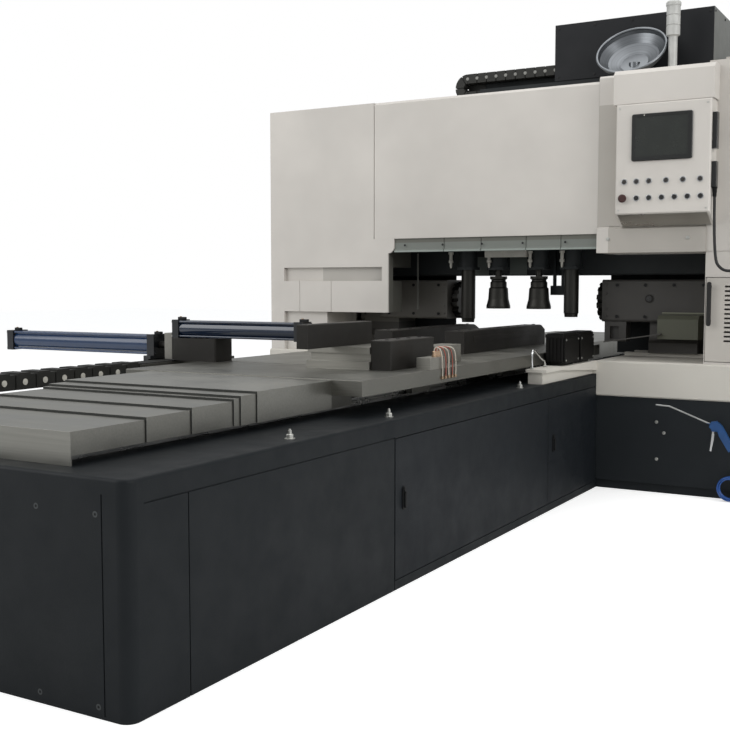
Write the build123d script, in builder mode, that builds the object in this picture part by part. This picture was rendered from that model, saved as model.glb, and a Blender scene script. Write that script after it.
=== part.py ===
"""Plate sawing and milling machine: a long bed with a travelling table, a portal with two side
milling heads, a cross-cut saw on the beam, and an operator console.

Millimetres. +Z is up, +Y runs along the bed from the loading end to the run-out end, and +X is the
operator's side. The origin is on the floor, on the bed's centre line, under the milling cutters.
"""
from build123d import *
import math
import os

os.makedirs("parts", exist_ok=True)

# Running gaps
slide_gap = 0.3            # between flat sliding faces
bore_gap = 0.05            # radial, between a shaft or rod and its bore
door_gap = 3.0             # around each sheet-metal door

# Bed
bed_half_width = 650.0
bed_front = -4050.0
bed_rear = 1750.0
bed_top = 592.0
bed_corner_radius = 35.0
band_depth = 62.0          # the bed's top band, down to its seam
band_height = bed_top - band_depth
seam_width = 4.0
seam_depth = 3.0
trough_half_width = 150.0
screw_drop = 72.0          # feed screw's centre under the bed's top
screw_height = bed_top - screw_drop
trough_floor = screw_height - 90

# Table and the heights that follow from it
way_height = 32.0
carriage_height = 72.0     # bed's top to the table's underside
table_thickness = 56.0
table_bottom = bed_top + carriage_height
table_top = table_bottom + table_thickness
table_half_width = bed_half_width - 115
table_length = 2605.0
table_rear = -150.0
table_front = table_rear - table_length
pad_height = 88.0          # support block on the table
pad_top = table_top + pad_height
jaw_height = 108.0         # far jaws
jaw_top = table_top + jaw_height

# Portal
portal_front = -546.0
base_depth = 1100.0
base_width = 741.0         # each base half, beside the bed
base_rear = portal_front + base_depth
base_rise = 68.0           # base's top over the bed's top
base_top = bed_top + base_rise
base_band = base_top - 180  # where the pale band on the base begins
portal_half_width = bed_half_width + base_width
cabinet_width = 208.0      # right column
tower_width = 543.0
tower_right = portal_half_width - cabinet_width
tower_left = tower_right - tower_width
opening_left = -578.0

# Milling heads and cutters
spindle_rise = 235.0       # over the table's top
spindle_height = table_top + spindle_rise
cutter_radius = 110.0
cutter_width = 38.0
left_cutter_face = -350.0
right_cutter_face = 500.0
head_half_depth = 150.0
head_low = spindle_height - cutter_radius
head_high = spindle_height + cutter_radius + 10

# Beam, cowl and console tower
beam_height = 950.0
beam_bottom = head_high + 25
beam_top = beam_bottom + beam_height
beam_depth = 330.0
beam_rear = head_half_depth
beam_front = beam_rear - beam_depth
cowl_top = beam_top + 22
strip_low = beam_bottom + 130
strip_high = strip_low + 76
tower_bottom = beam_bottom + 108
tower_top = beam_top + 45
cabinet_top = beam_top + 70

# Doors in the bed's side, from the loading end to the portal
door_far = (portal_front - 700, portal_front - 24)
door_near = (door_far[0] - 1484, door_far[0] - 8)
door_low = 33.0
door_high = band_height - seam_depth
door_depth = 21.7
door_sheet = 3.0
door_pivot_inset = 20.0    # hinge pin centre, from the hinge-side jamb
door_pivot_depth = 10.0    # hinge pin centre, behind the door's face
door_pin_radius = 5.0
door_pin_length = 12.0
locker_depth = 400.0

# Ways, carriage blocks and feed screw
way_offset = 300.0
way_width = 45.0
way_start = bed_front + 90
way_end = bed_rear - 60
screw_radius = 20.0
screw_start = bed_front + 450
screw_end = bed_rear - 250

# Telescopic way covers, from the loading end to the table and from there to the run-out end
cover_length = 440.0
cover_sheet = 3.0
cover_start = bed_front + 84
cover_shares = (0.0, 0.358, 0.6044, 0.8573, 0.8962, 1.0)
cover_edges = [cover_start + share * (table_front - cover_length - cover_start) for share in cover_shares]
cover_half_width = 412.0   # the widest section, on the table
cover_top = table_top - 4  # the widest section
cover_side_step = 4.0
cover_rise = 7.2
cover_foot = bed_top + 25
rear_cover_length = 650.0
rear_cover_end = bed_rear - 10 - rear_cover_length
rear_cover_edges = (rear_cover_end, (rear_cover_end + table_rear) / 2 + 10, table_rear)

# Console
console_right = tower_right + 39
console_width = 457.0
console_left = console_right - console_width
console_front = portal_front - 120
console_low = tower_bottom + 184
console_high = console_low + 533
lamp_row = console_low + 158
lamp_places = [console_left + step for step in (46, 106, 167, 250, 330, 411)]
button_row = console_low + 77
button_pitch = 61.5
button_first = console_left + 107
stop_place = console_left + 41

# Press-down clamps under the beam
press_places = (-190.0, -5.0, 235.0, 421.0)
press_line = -300.0
press_lift = 86.0          # raised feet over the far jaws
press_foot_low = jaw_top + press_lift
press_foot_height = 180.0
press_plate = press_foot_low + press_foot_height + 146

# Cross-cut saw
saw_centre = 713.0
saw_offset = 198.0         # saw's plane behind the beam
saw_plane = beam_rear + saw_offset
saw_height = beam_bottom + 300
saw_radius = 260.0
saw_thickness = 6.0
low_rail = (beam_bottom + 140, beam_bottom + 185)


def along(y_high):
    """Sketch plane across the machine: sketch (X, Z), extruding toward -Y."""
    return Plane(origin=(0, y_high, 0), x_dir=(1, 0, 0), z_dir=(0, -1, 0))


def across(x_low):
    """Sketch plane along the machine: sketch (Y, Z), extruding toward +X."""
    return Plane.YZ.offset(x_low)


def block(x, y, z, mode=Mode.ADD):
    """Box between three (low, high) pairs, in the part being built."""
    with Locations(((x[0] + x[1]) / 2, (y[0] + y[1]) / 2, (z[0] + z[1]) / 2)):
        Box(x[1] - x[0], y[1] - y[0], z[1] - z[0], mode=mode)


def rod(start, end, radius, mode=Mode.ADD):
    """Round bar from start to end, in the part being built."""
    direction = Vector(*end) - Vector(*start)
    with BuildSketch(Plane(origin=start, z_dir=direction)) as section:
        Circle(radius)
    extrude(section.sketch, amount=direction.length, mode=mode)


def shifted(place, *points):
    """Sketch points moved by a place."""
    return [(place[0] + point[0], place[1] + point[1]) for point in points]


def save(piece, name):
    """Label a finished piece and write its STEP file."""
    piece.part.label = name
    export_step(piece.part, f"parts/{name}.step")


def door_pin(x, y, z_low, z_high, radius, mode=Mode.ADD):
    """Vertical hinge pin, or its hole."""
    rod((x, y, z_low), (x, y, z_high), radius, mode)


# Bed casing: folded sheet body with a screw trough, two lockers and the chain tray
chain_half_width = 50.0
chain_centre = -bed_half_width - 95
chain_height = 56.0
chain_bend = 90.0          # mean radius of the bend
chain_upper = table_bottom + 26  # centre of the upper run
chain_lower = chain_upper - 2 * chain_bend
tray_sheet = 4.0
tray_floor = chain_lower - chain_height / 2 - slide_gap
tray_outer = chain_centre - chain_half_width - 7.0
tray_wall_top = chain_lower + chain_height / 2 + 10
tray_span = (bed_front + 65, portal_front - 74)
tunnel_start = tray_span[1] - 680

with BuildPart() as bed_casing:
    with BuildSketch():
        with Locations((0, (bed_front + bed_rear) / 2)):
            RectangleRounded(2 * bed_half_width, bed_rear - bed_front, bed_corner_radius)
    extrude(amount=bed_top)
    fillet(bed_casing.edges().group_by(Axis.Z)[-1], 10)
    trough = (way_start + 40, way_end - 60)
    block((-trough_half_width, trough_half_width), trough, (trough_floor, bed_top + 1), Mode.SUBTRACT)
    # lockers behind the doors, and the rebates that the doors close into
    for jambs in (door_near, door_far):
        heights = (door_low, door_high)
        block((bed_half_width - door_depth - slide_gap, bed_half_width + 1), jambs, heights, Mode.SUBTRACT)
        block((bed_half_width - locker_depth, bed_half_width - 5), (jambs[0] + 30, jambs[1]), heights,
              Mode.SUBTRACT)
        pivot = (bed_half_width - door_pivot_depth, jambs[1] - door_pivot_inset)
        door_pin(*pivot, door_low - 16, door_low + 1, door_pin_radius + bore_gap, Mode.SUBTRACT)
        door_pin(*pivot, door_high - 1, door_high + 16, door_pin_radius + bore_gap, Mode.SUBTRACT)
    # seams between the casing's panels
    seam = (band_height - seam_depth, band_height - seam_depth + seam_width)
    side_depth = (bed_half_width - seam_depth, bed_half_width + 1)
    block(side_depth, (bed_front + 60, door_near[0]), seam, Mode.SUBTRACT)
    end_panel = bed_front + 223
    block(side_depth, (end_panel, end_panel + seam_width), (0, seam[0]), Mode.SUBTRACT)
    block(side_depth, (door_near[0] - seam_width, door_near[0]), (0, seam[1]), Mode.SUBTRACT)
    for panel_edge in (78 - bed_half_width, bed_half_width - 78 - seam_width):
        block((panel_edge, panel_edge + seam_width), (bed_front - 1, bed_front + seam_depth),
              (8, bed_top - 40), Mode.SUBTRACT)
    # screw bearings standing in the trough
    for place in (screw_start, screw_end - 60):
        with BuildSketch(along(place + 50)):
            with Locations((0, (trough_floor + screw_height + 50) / 2)):
                RectangleRounded(130, screw_height + 50 - trough_floor, 12)
            with Locations((0, screw_height)):
                Circle(15 + bore_gap, mode=Mode.SUBTRACT)
        extrude(amount=40)
    # tray for the energy chain on the far side
    with BuildSketch(along(tray_span[1])):
        with BuildLine():
            Polyline((-bed_half_width, tray_floor), (-bed_half_width, tray_floor - tray_sheet),
                     (tray_outer - tray_sheet, tray_floor - tray_sheet),
                     (tray_outer - tray_sheet, tray_wall_top),
                     (tray_outer, tray_wall_top), (tray_outer, tray_floor), close=True)
        make_face()
    extrude(amount=tray_span[1] - tray_span[0])
    block((tray_outer - tray_sheet, -bed_half_width), (tunnel_start, tray_span[1]),
          (tray_wall_top - 3, tray_wall_top + 1))
save(bed_casing, "bed_casing")

# Guide rails: two profiled rails with waisted flanks
with BuildPart() as guide_rails:
    with BuildSketch(along(way_end)):
        for side in (-1, 1):
            with BuildLine():
                Polyline((side * way_offset - way_width / 2, bed_top),
                         (side * way_offset + way_width / 2, bed_top),
                         (side * way_offset + way_width / 2, bed_top + 10),
                         (side * way_offset + way_width / 2 - 7, bed_top + 16),
                         (side * way_offset + way_width / 2, bed_top + 22),
                         (side * way_offset + way_width / 2, bed_top + way_height),
                         (side * way_offset - way_width / 2, bed_top + way_height),
                         (side * way_offset - way_width / 2, bed_top + 22),
                         (side * way_offset - way_width / 2 + 7, bed_top + 16),
                         (side * way_offset - way_width / 2, bed_top + 10), close=True)
            make_face()
    extrude(amount=way_end - way_start)
save(guide_rails, "guide_rails")

# Feed screw and its servo motor, in the trough
with BuildPart() as feed_screw:
    rod((0, screw_start + 50 + slide_gap, screw_height), (0, screw_end - 50 - slide_gap, screw_height),
        screw_radius)
    rod((0, screw_start - 30, screw_height), (0, screw_end - 10, screw_height), 15)
save(feed_screw, "feed_screw")

motor_face = screw_start + 10 - slide_gap
with BuildPart() as feed_motor:
    with BuildSketch(along(motor_face)):
        with Locations((0, screw_height)):
            RectangleRounded(130, 130, 14)
            Circle(32, mode=Mode.SUBTRACT)
    extrude(amount=60)
    with BuildSketch(along(motor_face - 60)):
        with Locations((0, screw_height)):
            RectangleRounded(126, 126, 22)
    extrude(amount=180)
    with BuildSketch(along(motor_face - 240)):
        with Locations((0, screw_height)):
            RectangleRounded(112, 112, 20)
    extrude(amount=40)
    block((-30, 30), (motor_face - 150, motor_face - 80), (screw_height + 60, screw_height + 92))
    block((-60, 60), (motor_face - 60, motor_face - 20), (trough_floor, screw_height - 60))
save(feed_motor, "feed_motor")


# Telescopic covers: folded sheet sections, each with a rear wall whose feet run on the ways
def cover_section(front, length, half_width, top, wall_end):
    """Folded section; wall_end is 1 for a rear wall at the +Y end, -1 at the -Y end."""
    with BuildSketch(along(front + length)) as section:
        with Locations((0, (cover_foot + top) / 2)):
            Rectangle(2 * half_width, top - cover_foot)
        with Locations((0, (cover_foot + top - cover_sheet) / 2 - 1)):
            Rectangle(2 * (half_width - cover_sheet), top - cover_foot - cover_sheet + 2, mode=Mode.SUBTRACT)
    extrude(section.sketch, amount=length)
    foot = bed_top + way_height + slide_gap
    wall = front + length - 6 if wall_end > 0 else front
    inner = (-half_width + cover_sheet - 1, half_width - cover_sheet + 1)
    block(inner, (wall, wall + 6), (foot, top - cover_sheet + 1))
    # wiper lip at the open end, down to the section below
    lip = front if wall_end > 0 else front + length - 4
    drop = cover_rise - cover_sheet - slide_gap
    block((-half_width + cover_sheet + 8, half_width - cover_sheet - 8), (lip, lip + 4),
          (top - cover_sheet - drop, top - cover_sheet + 1))


def nested(section, count):
    """Half width and top height of a section, counted from the smallest of count."""
    under = count - 1 - section
    return cover_half_width - under * cover_side_step, cover_top - under * cover_rise


count = len(cover_edges)
for section in range(1, count - 1):
    with BuildPart() as front_cover:
        cover_section(cover_edges[section], cover_length, *nested(section, count), 1)
    save(front_cover, f"front_cover_{section + 1}")

rear_count = len(rear_cover_edges)
with BuildPart() as end_covers:
    half_width, top = nested(0, count)
    cover_section(cover_edges[0], cover_length, half_width, top, 1)
    block((-half_width, half_width), (cover_edges[0] - 4, cover_edges[0]), (bed_top, top))
    half_width, top = nested(0, rear_count)
    cover_section(rear_cover_edges[0], rear_cover_length, half_width, top, -1)
    end = rear_cover_edges[0] + rear_cover_length
    block((-half_width, half_width), (end, end + 4), (bed_top, top))
save(end_covers, "end_covers")

with BuildPart() as rear_cover:
    cover_section(rear_cover_edges[1], rear_cover_length, *nested(1, rear_count), -1)
save(rear_cover, "rear_cover_2")

with BuildPart() as table_covers:
    half_width, top = nested(count - 1, count)
    cover_section(cover_edges[-1], cover_length, half_width, top, 1)
    cover_section(rear_cover_edges[-1], rear_cover_length, half_width, top, -1)
save(table_covers, "table_covers")

# Table: ground slab with cross slots, support blocks, carriage blocks, screw nut and chain channel
slot_rows = (-2230.0, -1060.0, -480.0)
slot_half_width = 9.0
slot_end = 95.0
channel_floor = chain_upper - chain_height / 2 - slide_gap
channel_span = (-2500.0, -1850.0)
nut_place = -1450.0
near_jaw = (330.0, 420.0)
near_jaw_top = pad_top + 27

with BuildPart() as table:
    with BuildSketch(along(table_rear)):
        with Locations((0, (table_bottom + table_top) / 2)):
            Rectangle(2 * table_half_width, table_top - table_bottom)
    extrude(amount=table_rear - table_front)
    chamfer(table.edges().group_by(Axis.Z)[-1], 2)
    # tee slots that the bracket and the far moving jaw run in
    for row in slot_rows:
        slot = (-table_half_width - 1, slot_end)
        block(slot, (row - slot_half_width, row + slot_half_width), (table_top - 34, table_top + 1),
              Mode.SUBTRACT)
        block(slot, (row - 16, row + 16), (table_top - 34, table_top - 20), Mode.SUBTRACT)
    # layered support block beside the near jaw and the pale block behind it
    layers = (table_top, table_top + 0.36 * pad_height, table_top + 0.7 * pad_height, pad_top)
    for inset, low, high in zip((0, 14, 4), layers, layers[1:]):
        block((43 + inset, near_jaw[0]), (-2350 + inset, -1975), (low, high))
    block((near_jaw[0] + 4, near_jaw[1] + 4), (-1968, -1720), (table_top, pad_top - 14))
    # carriage blocks on the guide rails
    for x in (-way_offset, way_offset):
        for y in (table_front + 160, -1950, -1000, table_rear - 160):
            block((x - 50, x + 50), (y - 80, y + 80), (bed_top + 12, table_bottom))
            block((x - way_width / 2 - slide_gap, x + way_width / 2 + slide_gap), (y - 81, y + 81),
                  (bed_top, bed_top + way_height + slide_gap), Mode.SUBTRACT)
    # ball nut bracket
    with BuildSketch(along(nut_place + 60)):
        with Locations((0, (screw_height - 48 + table_bottom) / 2)):
            RectangleRounded(120, table_bottom - screw_height + 48, 12)
        with Locations((0, table_bottom - 10)):
            Rectangle(120, 20)
        with Locations((0, screw_height)):
            Circle(screw_radius + bore_gap, mode=Mode.SUBTRACT)
    extrude(amount=120)
    # channel that carries the moving end of the energy chain
    channel_low = channel_floor - tray_sheet
    wall_top = chain_upper + chain_height / 2 - 4
    outer = chain_centre - chain_half_width - 3
    inner = chain_centre + chain_half_width + 3
    with BuildSketch(along(channel_span[1])):
        with BuildLine():
            Polyline((outer - tray_sheet, channel_low), (inner + tray_sheet, channel_low),
                     (inner + tray_sheet, wall_top), (inner, wall_top), (inner, channel_floor),
                     (outer, channel_floor), (outer, wall_top), (outer - tray_sheet, wall_top), close=True)
        make_face()
    extrude(amount=channel_span[1] - channel_span[0])
    for y in (channel_span[0] + 40, channel_span[1] - 80):
        block((inner + tray_sheet, -table_half_width), (y, y + 40), (table_bottom, table_bottom + 30))
    # valve block on the table's operator-side edge
    block((table_half_width - 65, table_half_width - 4), (-2225, -2085), (table_top, table_top + 46))
save(table, "table")

# Jaws
far_jaw_end = table_rear - 90
with BuildPart() as fixed_jaw_near:
    with BuildSketch(Plane.XY.offset(table_top)):
        with Locations(((near_jaw[0] + near_jaw[1]) / 2, -2155)):
            RectangleRounded(near_jaw[1] - near_jaw[0], 370, 6)
    extrude(amount=near_jaw_top - table_top)
    chamfer(fixed_jaw_near.edges().group_by(Axis.Z)[-1], 3)
save(fixed_jaw_near, "fixed_jaw_near")

with BuildPart() as fixed_jaw_far:
    with BuildSketch(across(150)):
        with BuildLine():
            Polyline((-1310, table_top), (far_jaw_end, table_top), (far_jaw_end, jaw_top - 28),
                     (far_jaw_end - 60, jaw_top), (-1310, jaw_top), close=True)
        make_face()
    extrude(amount=100)
    chamfer(fixed_jaw_far.edges().group_by(Axis.Z)[-1].filter_by(Axis.Y), 4)
    block((154, 254), (-1200, -420), (jaw_top - 53, jaw_top - 28))
save(fixed_jaw_far, "fixed_jaw_far")

with BuildPart() as moving_jaw_far:
    low = table_top + slide_gap
    with BuildSketch(across(-250)):
        with BuildLine():
            Polyline((-1280, low), (far_jaw_end, low), (far_jaw_end, jaw_top - 28),
                     (far_jaw_end - 60, jaw_top - 5), (-1280, jaw_top - 5), close=True)
        make_face()
    extrude(amount=100)
    chamfer(moving_jaw_far.edges().group_by(Axis.Z)[-1].filter_by(Axis.Y), 4)
    for row in slot_rows[1:]:
        block((-240, -160), (row - slot_half_width + 1, row + slot_half_width - 1), (table_top - 15, low))
save(moving_jaw_far, "moving_jaw_far")

# Clamp unit at the table's far edge: bracket, clamp cylinder, jaw and positioning cylinder
clamp_line = -2260.0
clamp_height = pad_top + 49
cylinder_radius = 36.0
cap_half = 40.0
push_line = -2240.0
push_height = table_top + 62
push_radius = 43.0
push_cap_half = 47.0
clamp_rod_radius = 12.5
push_rod_radius = 15.0
bracket_face = -table_half_width - 140
push_nose = bracket_face - 125     # rod end of the positioning cylinder
push_end = bracket_face - 1025     # where its tube meets the far cap

with BuildPart() as clamp_bracket:
    low = table_top + slide_gap
    with BuildSketch(across(bracket_face)):
        with BuildLine():
            Polyline((-2300, low), (-2180, low), (-2180, clamp_height - cap_half),
                     (-2300, clamp_height - cap_half), close=True)
        make_face()
    extrude(amount=225)
    fillet(clamp_bracket.edges().filter_by(Axis.Z), 6)
    key = (slot_rows[0] - slot_half_width + 1, slot_rows[0] + slot_half_width - 1)
    block((-table_half_width, 75 - table_half_width), key,
          (table_top - 15, low + 1))
    # rod-end flange of the positioning cylinder
    flange = (bracket_face - 60, bracket_face)
    block(flange, (-2290, -2190), (low + 4, clamp_height - cap_half - 1))
    block((flange[0], bracket_face - 20), (-2290, -2190), (clamp_height - cap_half - 2, push_height + 56))
    rod((bracket_face - 575, push_line, push_height), (flange[0], push_line, push_height), push_rod_radius)
save(clamp_bracket, "clamp_bracket")

with BuildPart() as clamp_cylinder:
    cap = bracket_face - 9
    rod((cap + 34, clamp_line, clamp_height), (-45, clamp_line, clamp_height), cylinder_radius)
    for x in (cap, -50):
        block((x, x + 34), (clamp_line - cap_half, clamp_line + cap_half),
              (clamp_height - cap_half, clamp_height + cap_half))
    for dy in (-1, 1):
        for dz in (-1, 1):
            tie = (clamp_line + dy * (cap_half - 9), clamp_height + dz * (cap_half - 9))
            rod((cap - 6, *tie), (-10, *tie), 5)
    rod((-260, clamp_line, clamp_height), (-15, clamp_line, clamp_height), clamp_rod_radius + bore_gap,
        Mode.SUBTRACT)
save(clamp_cylinder, "clamp_cylinder")

with BuildPart() as moving_jaw_near:
    block((150, 200), (-2580, -2100), (pad_top + slide_gap, pad_top + 92))
    chamfer(moving_jaw_near.edges().group_by(Axis.Z)[-1], 3)
    block((112, 152), (clamp_line - 45, clamp_line + 45), (pad_top + 8, pad_top + 89))
    rod((-240, clamp_line, clamp_height), (115, clamp_line, clamp_height), clamp_rod_radius)
save(moving_jaw_near, "moving_jaw_near")

with BuildPart() as positioning_cylinder:
    rod((push_end, push_line, push_height), (push_nose - 30, push_line, push_height), push_radius)
    for x in (push_end - 23, push_nose - 40):
        block((x, x + 40), (push_line - push_cap_half, push_line + push_cap_half),
              (push_height - push_cap_half, push_height + push_cap_half))
    for dy in (-1, 1):
        for dz in (-1, 1):
            tie = (push_line + dy * (push_cap_half - 9), push_height + dz * (push_cap_half - 9))
            rod((push_end - 28, *tie), (push_nose + 5, *tie), 5)
    rod((bracket_face - 615, push_line, push_height), (push_nose + 1, push_line, push_height),
        push_rod_radius + bore_gap,
        Mode.SUBTRACT)
    # foot under the rod-end cap and the arm that carries it from the table's edge
    foot = (push_line - 70, push_line + 70)
    arm = (push_line - 70, push_line - 40)
    arm_low = table_bottom - 24
    seat = 55 - table_half_width
    block((push_nose - 40, push_nose), foot, (table_top + 2, push_height - push_cap_half + 1))
    block((push_nose - 40, push_nose - 12), foot, (arm_low, table_top + 3))
    block((push_nose - 40, seat), arm, (arm_low, arm_low + 12))
    block((-table_half_width, seat), arm, (arm_low + 11, table_bottom))
save(positioning_cylinder, "positioning_cylinder")


# Energy chains: open loops of links over a thinner core, bent at their low end
def chain_loop(plane, width, bend_at, ends, upper, bend, height, pitch):
    """Upper and lower runs of links, joined by a bend, on a core; ends are (upper, lower)."""
    middle = upper - bend
    runs = ((upper, ends[0]), (upper - 2 * bend, ends[1]))
    for inset, half in ((0, height / 2), (5, height / 2 - 7)):
        with BuildSketch(plane.offset(inset)) as section:
            with Locations((bend_at, middle)):
                Circle(bend + half)
                Circle(bend - half, mode=Mode.SUBTRACT)
                Rectangle(bend + height, 2 * (bend + height), align=(Align.MIN, Align.CENTER),
                          mode=Mode.SUBTRACT)
            if inset == 0:
                for angle in (120, 180, 240):
                    with Locations(Location((bend_at, middle), angle)):
                        with Locations((bend, 0)):
                            Rectangle(2 * height, 6, mode=Mode.SUBTRACT)
            for centre, end in runs:
                if inset:
                    with Locations(((bend_at + end) / 2, centre)):
                        Rectangle(end - bend_at, 2 * half)
                else:
                    for link in range(int((end - bend_at) / pitch)):
                        place = (bend_at + pitch * (link + 0.5), centre)
                        with Locations(place):
                            Rectangle(pitch - 6, 2 * half)
        extrude(section.sketch, amount=width - 2 * inset)


with BuildPart() as bed_chain:
    chain_loop(across(chain_centre - chain_half_width), 2 * chain_half_width, bed_front + 200, (-1900, -1250),
               chain_upper, chain_bend, chain_height, 98)
save(bed_chain, "bed_chain")

beam_chain_back = beam_front + 11
beam_chain_width = 72.0
beam_chain_bend = 49.0
beam_chain_height = 52.0
tray_top = cowl_top + 17.7
beam_chain_upper = tray_top + slide_gap + beam_chain_height / 2 + 2 * beam_chain_bend
with BuildPart() as beam_chain:
    chain_loop(along(beam_chain_back), beam_chain_width, -231, (343, 630), beam_chain_upper,
               beam_chain_bend, beam_chain_height, 58)
save(beam_chain, "beam_chain")


# Doors: folded pans on hinge pins, with a lock or a pull handle
for name, jambs in (("bed_door_near", door_near), ("bed_door_far", door_far)):
    with BuildPart() as bed_door:
        low, high = door_low + door_gap, door_high - door_gap
        y = (jambs[0] + door_gap, jambs[1] - door_gap)
        inner = bed_half_width - door_depth
        with BuildSketch(across(inner)):
            with Locations(((y[0] + y[1]) / 2, (low + high) / 2)):
                Rectangle(y[1] - y[0], high - low)
        extrude(amount=door_depth)
        block((inner - 1, bed_half_width - door_sheet), (y[0] + door_sheet, y[1] - door_sheet),
              (low + door_sheet, high - door_sheet), Mode.SUBTRACT)
        pivot = (bed_half_width - door_pivot_depth, jambs[1] - door_pivot_inset)
        door_pin(*pivot, low - door_pin_length, low + 30, door_pin_radius)
        door_pin(*pivot, high - 30, high + door_pin_length, door_pin_radius)
        # swing-handle lock near the free edge
        lock = (jambs[0] + 62, (low + high) / 2 + 32)
        with BuildSketch(across(bed_half_width)):
            with Locations(lock):
                SlotOverall(82, 24, rotation=90)
        extrude(amount=5)
        with BuildSketch(across(bed_half_width + 5)):
            with Locations((lock[0], lock[1] - 6)):
                SlotOverall(56, 13, rotation=90)
        extrude(amount=7)
        with BuildSketch(across(bed_half_width + 5)):
            with Locations((lock[0], lock[1] + 30)):
                Circle(7)
        extrude(amount=3)
    save(bed_door, name)

# Portal base: two cast halves beside the bed, with a plinth, a pale band and the heads' ways
plinth = 45.0
sill_sheet = 14.0
base_inner = bed_half_width + slide_gap
head_way_offset = 95.0
head_way_top = base_top + 20
gun_line = portal_front - 74
peg = (portal_half_width - 120, 336.0)
coil_line = portal_front - 42
outlet = (portal_half_width - 22, 99.0)
with BuildPart() as portal_base:
    for side in (-1, 1):
        low = base_inner if side > 0 else -portal_half_width
        with BuildSketch(across(low)):
            with BuildLine():
                Polyline((portal_front + 15, 0), (portal_front + 15, plinth), (portal_front, plinth),
                         (portal_front, base_band), (portal_front - 10, base_band + 6),
                         (portal_front - 10, base_top - 8), (portal_front - 2, base_top),
                         (base_rear, base_top), (base_rear, plinth), (base_rear - 15, plinth),
                         (base_rear - 15, 0), close=True)
            make_face()
        extrude(amount=portal_half_width - base_inner)
        for way in (-head_way_offset, head_way_offset):
            span = (base_inner + 15, tower_right - 18) if side > 0 else (-1100, -base_inner - 15)
            block(span, (way - 20, way + 20), (base_top, head_way_top))
    # pale sill along the bed's top edge, deeper towards the base, on a narrower foot
    with BuildSketch(across(bed_half_width - 98)):
        with BuildLine():
            Polyline((portal_front - 9, base_top), (portal_front - 744, base_top),
                     (portal_front - 744, base_top - sill_sheet), (portal_front - 534, base_top - sill_sheet),
                     (portal_front - 9, base_top - 50), close=True)
        make_face()
    extrude(amount=100)
    block((bed_half_width - 90, bed_half_width - 20), (portal_front - 734, portal_front - 8),
          (bed_top, base_top - 1))
    block((bed_half_width - 98, bed_half_width + 2), (portal_front - 11, portal_front - 9),
          (bed_top, base_top))
    # peg that the air gun hangs on, and the air outlet
    rod((peg[0], portal_front, peg[1]), (peg[0], gun_line - 22, peg[1]), 5)
    rod((peg[0], gun_line - 22, peg[1]), (peg[0], gun_line - 26, peg[1]), 8)
    rod((outlet[0], portal_front, outlet[1]), (outlet[0], coil_line, outlet[1]), 9)
save(portal_base, "portal_base")

with BuildPart() as junction_boxes:
    middle = (table_half_width + bed_half_width) / 2
    for y in ((portal_front - 484, portal_front - 266), (portal_front - 256, portal_front - 36)):
        for rise, width, height in ((0, 60, 20), (20, 89, 114), (134, 95, 16)):
            with BuildSketch(Plane.XY.offset(base_top + rise)):
                with Locations((middle, (y[0] + y[1]) / 2)):
                    RectangleRounded(width, y[1] - y[0] + width - 95, 8)
            extrude(amount=height)
save(junction_boxes, "junction_boxes")

# Left column: side wall, posts, guard box and the cowl over the beam's end
side_wall = 101 - portal_half_width
guard_low, guard_high = beam_bottom - 212, beam_bottom - 31
recess_high = beam_bottom + 48
cowl_end = -671.0
recess_line = portal_front + 26
corner = (opening_left + 38, strip_low + 32)
with BuildPart() as left_column:
    block((-portal_half_width, side_wall), (portal_front, beam_rear), (base_top, cowl_top))
    block((side_wall, side_wall + 170), (-150, beam_rear), (base_top, beam_bottom))
    block((side_wall - 55, side_wall + 288), (recess_line, beam_front - 1), (base_top, recess_high))
    with BuildSketch(along(beam_front - 5)):
        with BuildLine():
            Polyline((-portal_half_width, recess_high), (-portal_half_width, cowl_top), (cowl_end, cowl_top),
                     (cowl_end, strip_high), (corner[0], strip_high), corner)
            RadiusArc(corner, (opening_left, corner[1] - 38), 38)
            Polyline((opening_left, corner[1] - 38), (opening_left, guard_low),
                     (opening_left - 40, guard_low),
                     (opening_left - 40, recess_high), (-portal_half_width, recess_high))
        make_face()
    extrude(amount=beam_front - 5 - portal_front)
    block((side_wall - 55, opening_left - 20), (portal_front, press_line), (guard_low, guard_high))
    block((opening_left - 41, corner[0] + 1), (portal_front + 60, beam_front),
          (guard_low - 8, strip_high - 6),
          Mode.SUBTRACT)
    # panel at the back of the recess between the cowl and the guard box
    block((side_wall + 280, opening_left - 38), (recess_line, recess_line + 10),
          (guard_high - 9, recess_high + 4))
    fillet(left_column.edges().filter_by(Axis.Z).group_by(Axis.X)[0].group_by(Axis.Y)[0], 12)
    # seams between the guard box's panels
    for x in (side_wall + 110, side_wall + 330):
        block((x, x + 3), (portal_front - 1, portal_front + seam_depth), (guard_low - 8, guard_high + 1),
              Mode.SUBTRACT)
save(left_column, "left_column")

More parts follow.
